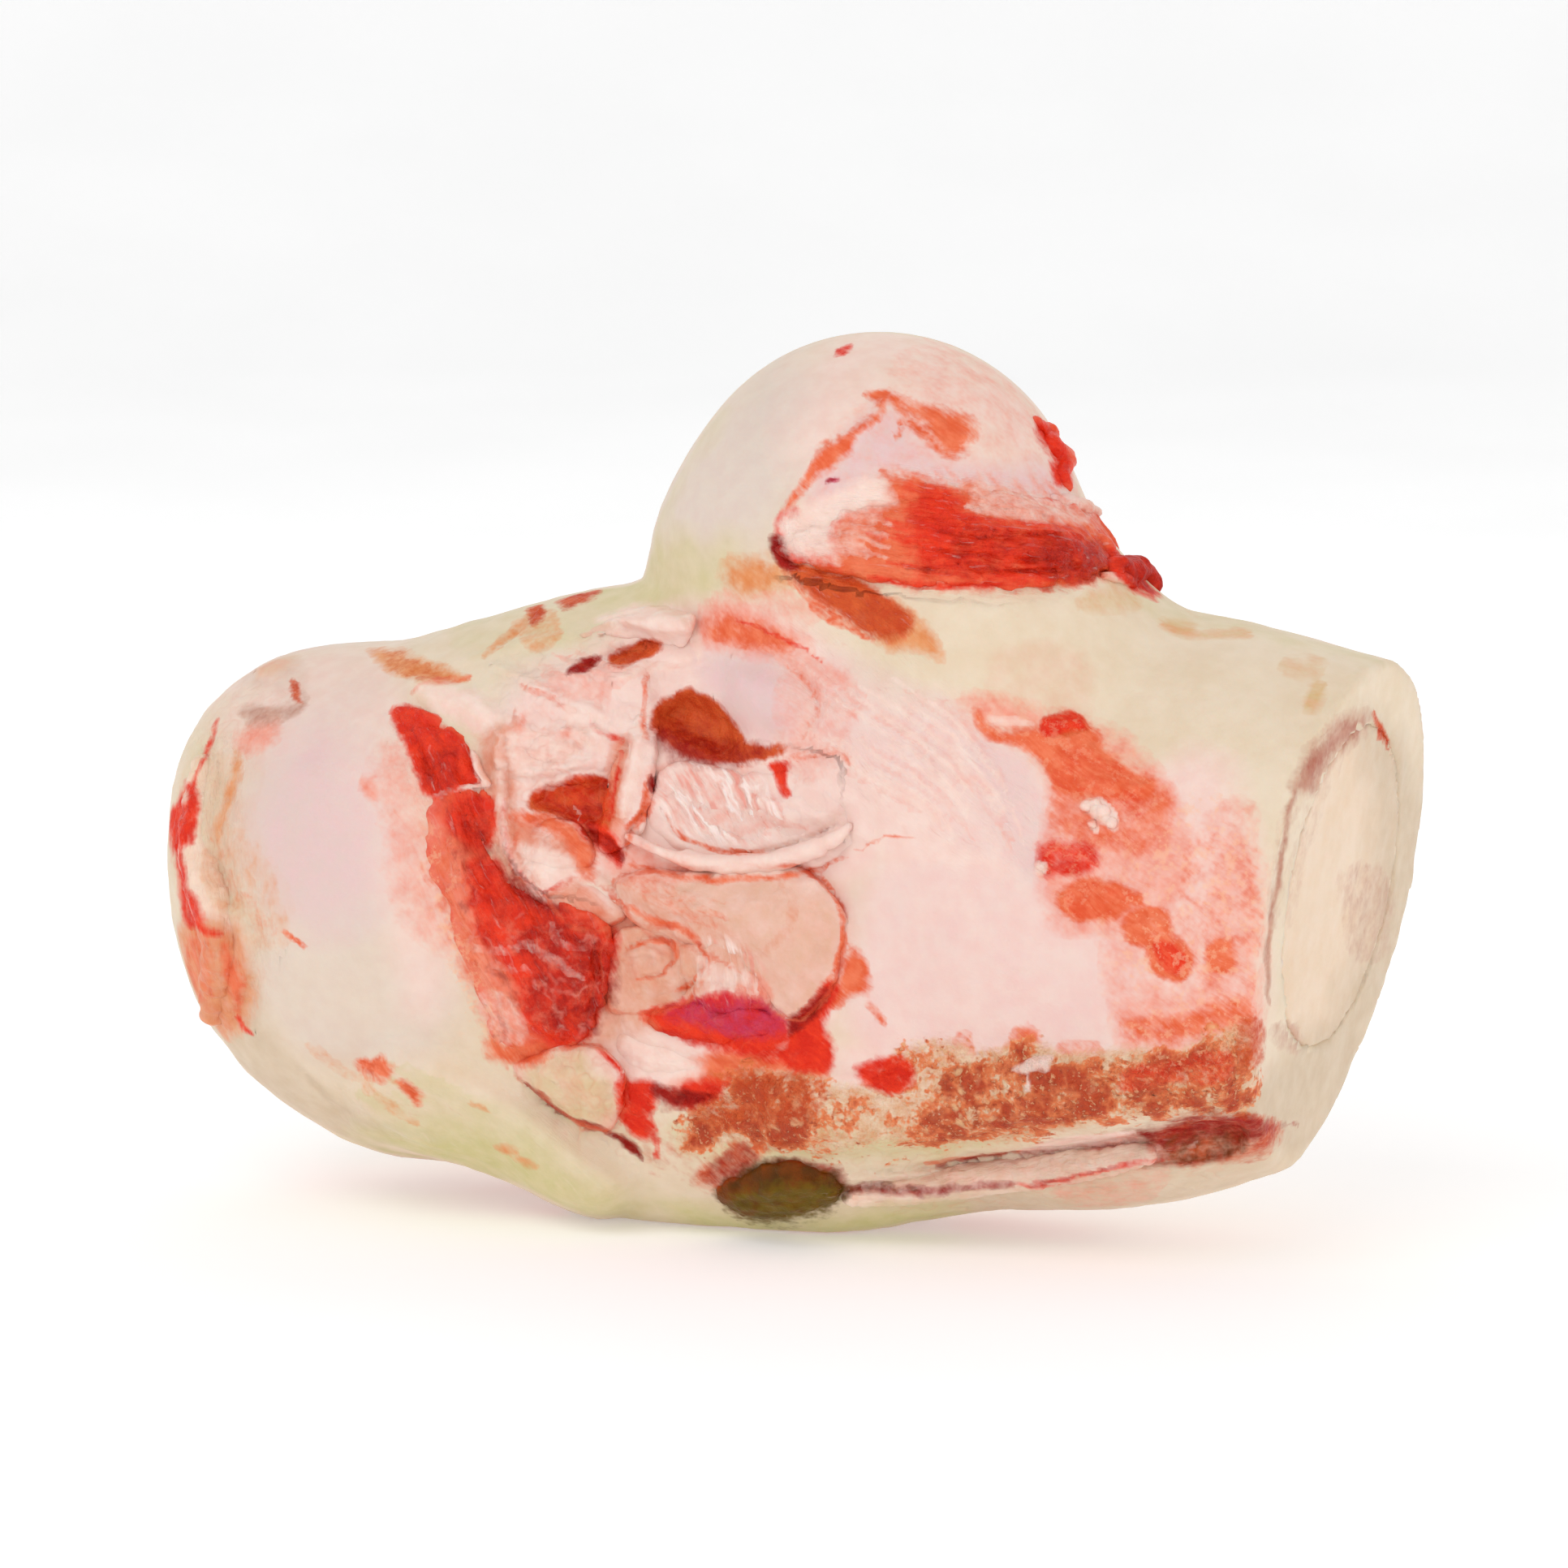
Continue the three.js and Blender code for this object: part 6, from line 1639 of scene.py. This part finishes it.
def towards_eye(points, normals):
    """How far each normal points at the eye: 1 straight on, 0 across, -1 away."""
    sight = EYE - points
    sight /= np.linalg.norm(sight, axis=1)[:, None]
    return (normals * sight).sum(axis=1)


def hidden_stains(points, layer):
    """The layer's strength on the sides that the photo hides."""
    if layer not in STAINS:
        return np.full(len(points), UNPAINTED)
    size, share, top = STAINS[layer]
    stains = 1.6 * noise(points, size, STAIN_SEED + len(layer) + size) + share
    return drop_outside(np.clip(stains, -1, top))


def give_layers(mesh, kind, points, normals, u, v):
    """Paints the mesh: from the maps where it faces the eye, and with stains elsewhere.

    Returns the points where each layer shows at all.
    """
    shown = {}
    seen = smooth_step(towards_eye(points, normals), *(BONE_FACING if kind == "bone" else SOFT_FACING))
    for layer, values in paint.items():
        hidden = hidden_stains(points, layer if kind == "bone" else "")
        value = hidden + (sheet.read(values, u, v) - hidden) * seen
        if never_shows(kind, layer):
            value = np.full(len(points), UNPAINTED)
        attribute = mesh.attributes.new(layer, "FLOAT", "POINT")
        attribute.data.foreach_set("value", value.astype(np.float32))
        shown[layer] = value > BARELY_PAINTED
    return shown


def give_grain(mesh, u, v, out):
    """Coordinates for the fibres, which run along the grain."""
    turn = sheet.nearest(grain_turns, u, v)
    along = (u * np.cos(turn) + v * np.sin(turn)) / FIBRE_STRETCH
    across = v * np.cos(turn) - u * np.sin(turn)
    grain = np.stack([along, across, 0.6 * out], axis=1) * MM
    attribute = mesh.attributes.new("grain", "FLOAT_VECTOR", "POINT")
    attribute.data.foreach_set("vector", grain.astype(np.float32).ravel())


def make_piece(name, kind, points, faces, normals, nodes):
    """A mesh piece that rides on the root body, carries the painted layers and replaces nodes."""
    mesh = bpy.data.meshes.new(name)
    mesh.from_pydata(((points + SHIFT) * MM).tolist(), [], faces)
    mesh.shade_smooth()
    u, v, out = on_sheet(points)
    # Every painted edge is a little wavy
    u = u + bumps(points, [(0.5, 4.5, 61), (0.15, 1.3, 63)])
    v = v + bumps(points, [(0.5, 4.5, 65), (0.15, 1.3, 67)])
    painted.append((mesh, kind, give_layers(mesh, kind, points, normals, u, v)))
    give_grain(mesh, u, v, out)
    piece = bpy.data.objects.new(name, mesh)
    bpy.context.scene.collection.objects.link(piece)
    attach(piece, "root")
    if nodes:
        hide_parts(*nodes)


def busy_map():
    """1 where the bone needs its finer mesh: at folds, patches and colours with sharp edges."""
    busy = np.abs(fine_relief) > 0.03
    for layer in LAYERS:
        if layer not in PALE_LAYERS:
            busy |= paint[layer] > BARELY_PAINTED
    return busy.astype(float)


def bone_lift(points, normals):
    """How far the bone's fine relief raises each point."""
    u, v, _ = on_sheet(points)
    facing = smooth_step(towards_eye(points, normals), 0, 0.3)
    rough = np.clip(0.5 + sheet.read(paint["ridge"], u, v), 0, 1)
    meaty = rough
    for layer in ("red", "orange", "rust"):
        meaty = np.maximum(meaty, np.clip(0.3 + sheet.read(paint[layer], u, v), 0, 1))
    cartilage = smooth_step(-ball(points, HEAD_CENTRE, HEAD_RADIUS), -2.5, 0) * (1 - meaty)
    lift = facing * sheet.read(fine_relief, u, v)
    lift += (1 - 0.9 * cartilage) * bumps(points, PLAIN_BUMPS)
    lift += facing * meaty * bumps(points, MEATY_BUMPS)
    lift += facing * rough * bumps(points, RIDGE_BUMPS)
    return np.clip(lift, -3, 2)


def make_bone():
    """The bone, in two sizes of mesh: a finer one where the near side is busy."""
    points, quads = surface_net(cut_bone_field, *BONE_BOX, BONE_CELL)
    points = settle(cut_bone_field, points)
    normals = slope_of(cut_bone_field, points)
    outside = np.abs(plain_field(points)) < SKIN_DEPTH
    u, v, _ = on_sheet(points)
    shown = outside & (towards_eye(points, normals) > 0.05) & (sheet.read(busy_map(), u, v) > 0)
    points, faces = split_quads(points, quads, shown[quads].all(axis=1))
    points = settle(cut_bone_field, points)
    normals = slope_of(cut_bone_field, points)
    points = points + normals * bone_lift(points, normals)[:, None]
    points[:, 2] = np.maximum(points[:, 2], FLOOR)
    make_piece("bone_surface", "bone", points, faces, normals, ["bone"])


def make_marrow():
    """The marrow, with a slightly uneven cut face."""
    def field(p):
        return smooth_max(marrow_field(p) - 0.3, beyond_saw(p) + MARROW_RECESS, 0.05)
    points, quads = surface_net(field, *MARROW_BOX, MARROW_CELL)
    points = settle(field, points)
    normals = slope_of(field, points)
    face = smooth_step(beyond_saw(points), -2, -0.6)
    lift = face * np.minimum(bumps(points, CUT_BUMPS), 0.05)
    points = points + normals * lift[:, None]
    make_piece("marrow_fill", "marrow", points, quads.tolist(), normals, ["marrow"])


def make_soft(name, kind, field, places, reach, seed, nodes):
    """A soft piece round some places on the bone."""
    spots = np.array([on_bone(place, 0) for place in places])
    low, high = spots.min(axis=0) - reach, spots.max(axis=0) + reach
    rumpled = under_bone(field, kind, seed)
    points, quads = surface_net(rumpled, low, high, PIECE_CELL)
    points = settle(rumpled, points, 1)
    make_piece(f"{name}_tissue", kind, points, quads.tolist(), slope_of(rumpled, points), nodes)


make_bone()
make_marrow()
for seed, (name, kind, height, crown, sink, edge, outline) in enumerate(PADS, 40):
    pad = pad_field(outline, height, crown, sink, edge, PAD_BACK.get(name))
    if name == "crescent_fold":
        pad = joined(pad, tube_field(*CRESCENT_RIM), 0.8)
    make_soft(name, kind, pad, outline, 6, seed, [name])
for seed, (name, kind, lift, radius, path) in enumerate(STRIPS, 80):
    make_soft(name, kind, tube_field(lift, radius, path), path, radius + 3, seed, [name])
for seed, (name, kind, lift, radius, path) in enumerate(SCRAPS, 90):
    make_soft(name, kind, tube_field(lift, radius, path), path, radius + 2, seed, [])
make_soft("fat_crumbs", "fat", crumb_field(), [crumb[:2] for crumb in CRUMBS], 2, 100, [])


def mark_plain_faces(mesh, shown):
    """Gives the mesh's second material to faces that show no layer but the wide ones."""
    busy = np.any([where for layer, where in shown.items() if layer not in WIDE_LAYERS], axis=0)
    corners = np.empty(len(mesh.loops), np.int32)
    mesh.loops.foreach_get("vertex_index", corners)
    starts = np.empty(len(mesh.polygons), np.int32)
    mesh.polygons.foreach_get("loop_start", starts)
    plain = ~np.logical_or.reduceat(busy[corners], starts)
    mesh.polygons.foreach_set("material_index", plain.astype(np.int32))


def give_materials():
    """Each tissue gets a material, and the bone's plain faces a simpler one that looks the same."""
    for kind in GROUNDS:
        worn = [(mesh, shown) for mesh, tissue, shown in painted if tissue == kind]
        names = {layer for _, shown in worn for layer, where in shown.items() if where.any()}
        material = tissue_material(f"{kind}_tissue", kind, names)
        for mesh, shown in worn:
            mesh.materials.append(material)
            if kind == "bone":
                mesh.materials.append(tissue_material("bone_plain", kind, names & WIDE_LAYERS))
                mark_plain_faces(mesh, shown)


give_materials()


# Floor, light and camera

# The floor's radius and height in metres, from its flat middle to its rim
FLOOR_PROFILE = [(0.2, 0), (1.2, 0), (1.6, 0.03), (1.9, 0.14), (2.1, 0.34), (2.2, 0.62), (2.24, 1.0)]
FLOOR_TURNS = 96
FLOOR_GLOW = 0.22
WORLD_STRENGTH = 0.645
LIGHT_AIM = Vector((0, 0, 0.06))
# Lights: direction round the bone and height in degrees, distance and size in metres, power
LIGHTS = {
    "key": (-10, 48, 1.1, 0.7, 2.5),
    "fill": (80, 12, 1.2, 0.8, 1.6),
    "back_fill": (200, 40, 1.2, 0.8, 1.3),
}


def make_floor():
    """A wide pale floor that curves up all round."""
    corners = [(0, 0, 0)]
    for radius, height in FLOOR_PROFILE:
        for i in range(FLOOR_TURNS):
            a = 2 * math.pi * i / FLOOR_TURNS
            corners.append((radius * math.cos(a), radius * math.sin(a), height))
    faces = [(0, 1 + i, 1 + (i + 1) % FLOOR_TURNS) for i in range(FLOOR_TURNS)]
    for ring in range(len(FLOOR_PROFILE) - 1):
        low = 1 + ring * FLOOR_TURNS
        high = low + FLOOR_TURNS
        for i in range(FLOOR_TURNS):
            j = (i + 1) % FLOOR_TURNS
            faces.append((low + i, high + i, high + j, low + j))
    mesh = bpy.data.meshes.new("floor")
    mesh.from_pydata(corners, [], faces)
    mesh.shade_smooth()
    s = Shader("pale_floor")
    mesh.materials.append(s.finish({
        "Base Color": s.mix(s.step(s.noise(120, 2), -1, 1), "floor", "floor_shade"),
        "Roughness": 0.8,
        "Specular IOR Level": 0.1,
        "Emission Color": (1, 1, 1, 1),
        "Emission Strength": FLOOR_GLOW,
    }))
    floor = bpy.data.objects.new("floor", mesh)
    bpy.context.scene.collection.objects.link(floor)


def make_light(name, turn, tilt, distance, size, power):
    """A soft white light, aimed at the bone's middle."""
    light = bpy.data.lights.new(name, "AREA")
    light.shape = "DISK"
    light.size = size
    light.energy = power
    lamp = bpy.data.objects.new(name, light)
    a, e = math.radians(turn), math.radians(tilt)
    back = Vector((math.sin(a) * math.cos(e), -math.cos(a) * math.cos(e), math.sin(e)))
    lamp.location = LIGHT_AIM + back * distance
    lamp.rotation_euler = back.to_track_quat("Z", "Y").to_euler()
    bpy.context.scene.collection.objects.link(lamp)


def make_camera():
    """The photo's camera."""
    data = bpy.data.cameras.new("camera")
    data.lens = LENS
    data.sensor_width = SENSOR
    data.clip_start, data.clip_end = 0.01, 20
    camera = bpy.data.objects.new("camera", data)
    camera.location = Vector(((EYE + SHIFT) * MM).tolist())
    camera.rotation_euler = Vector(OUT.tolist()).to_track_quat("Z", "Y").to_euler()
    bpy.context.scene.collection.objects.link(camera)
    bpy.context.scene.camera = camera


def make_world():
    """Even white light from all round."""
    world = bpy.data.worlds.new("studio")
    world.use_nodes = True
    background = world.node_tree.nodes["Background"]
    background.inputs["Color"].default_value = (1, 1, 1, 1)
    background.inputs["Strength"].default_value = WORLD_STRENGTH
    bpy.context.scene.world = world


make_floor()
make_world()
for name, settings in LIGHTS.items():
    make_light(name, *settings)
make_camera()
bpy.context.scene.view_settings.view_transform = "Standard"
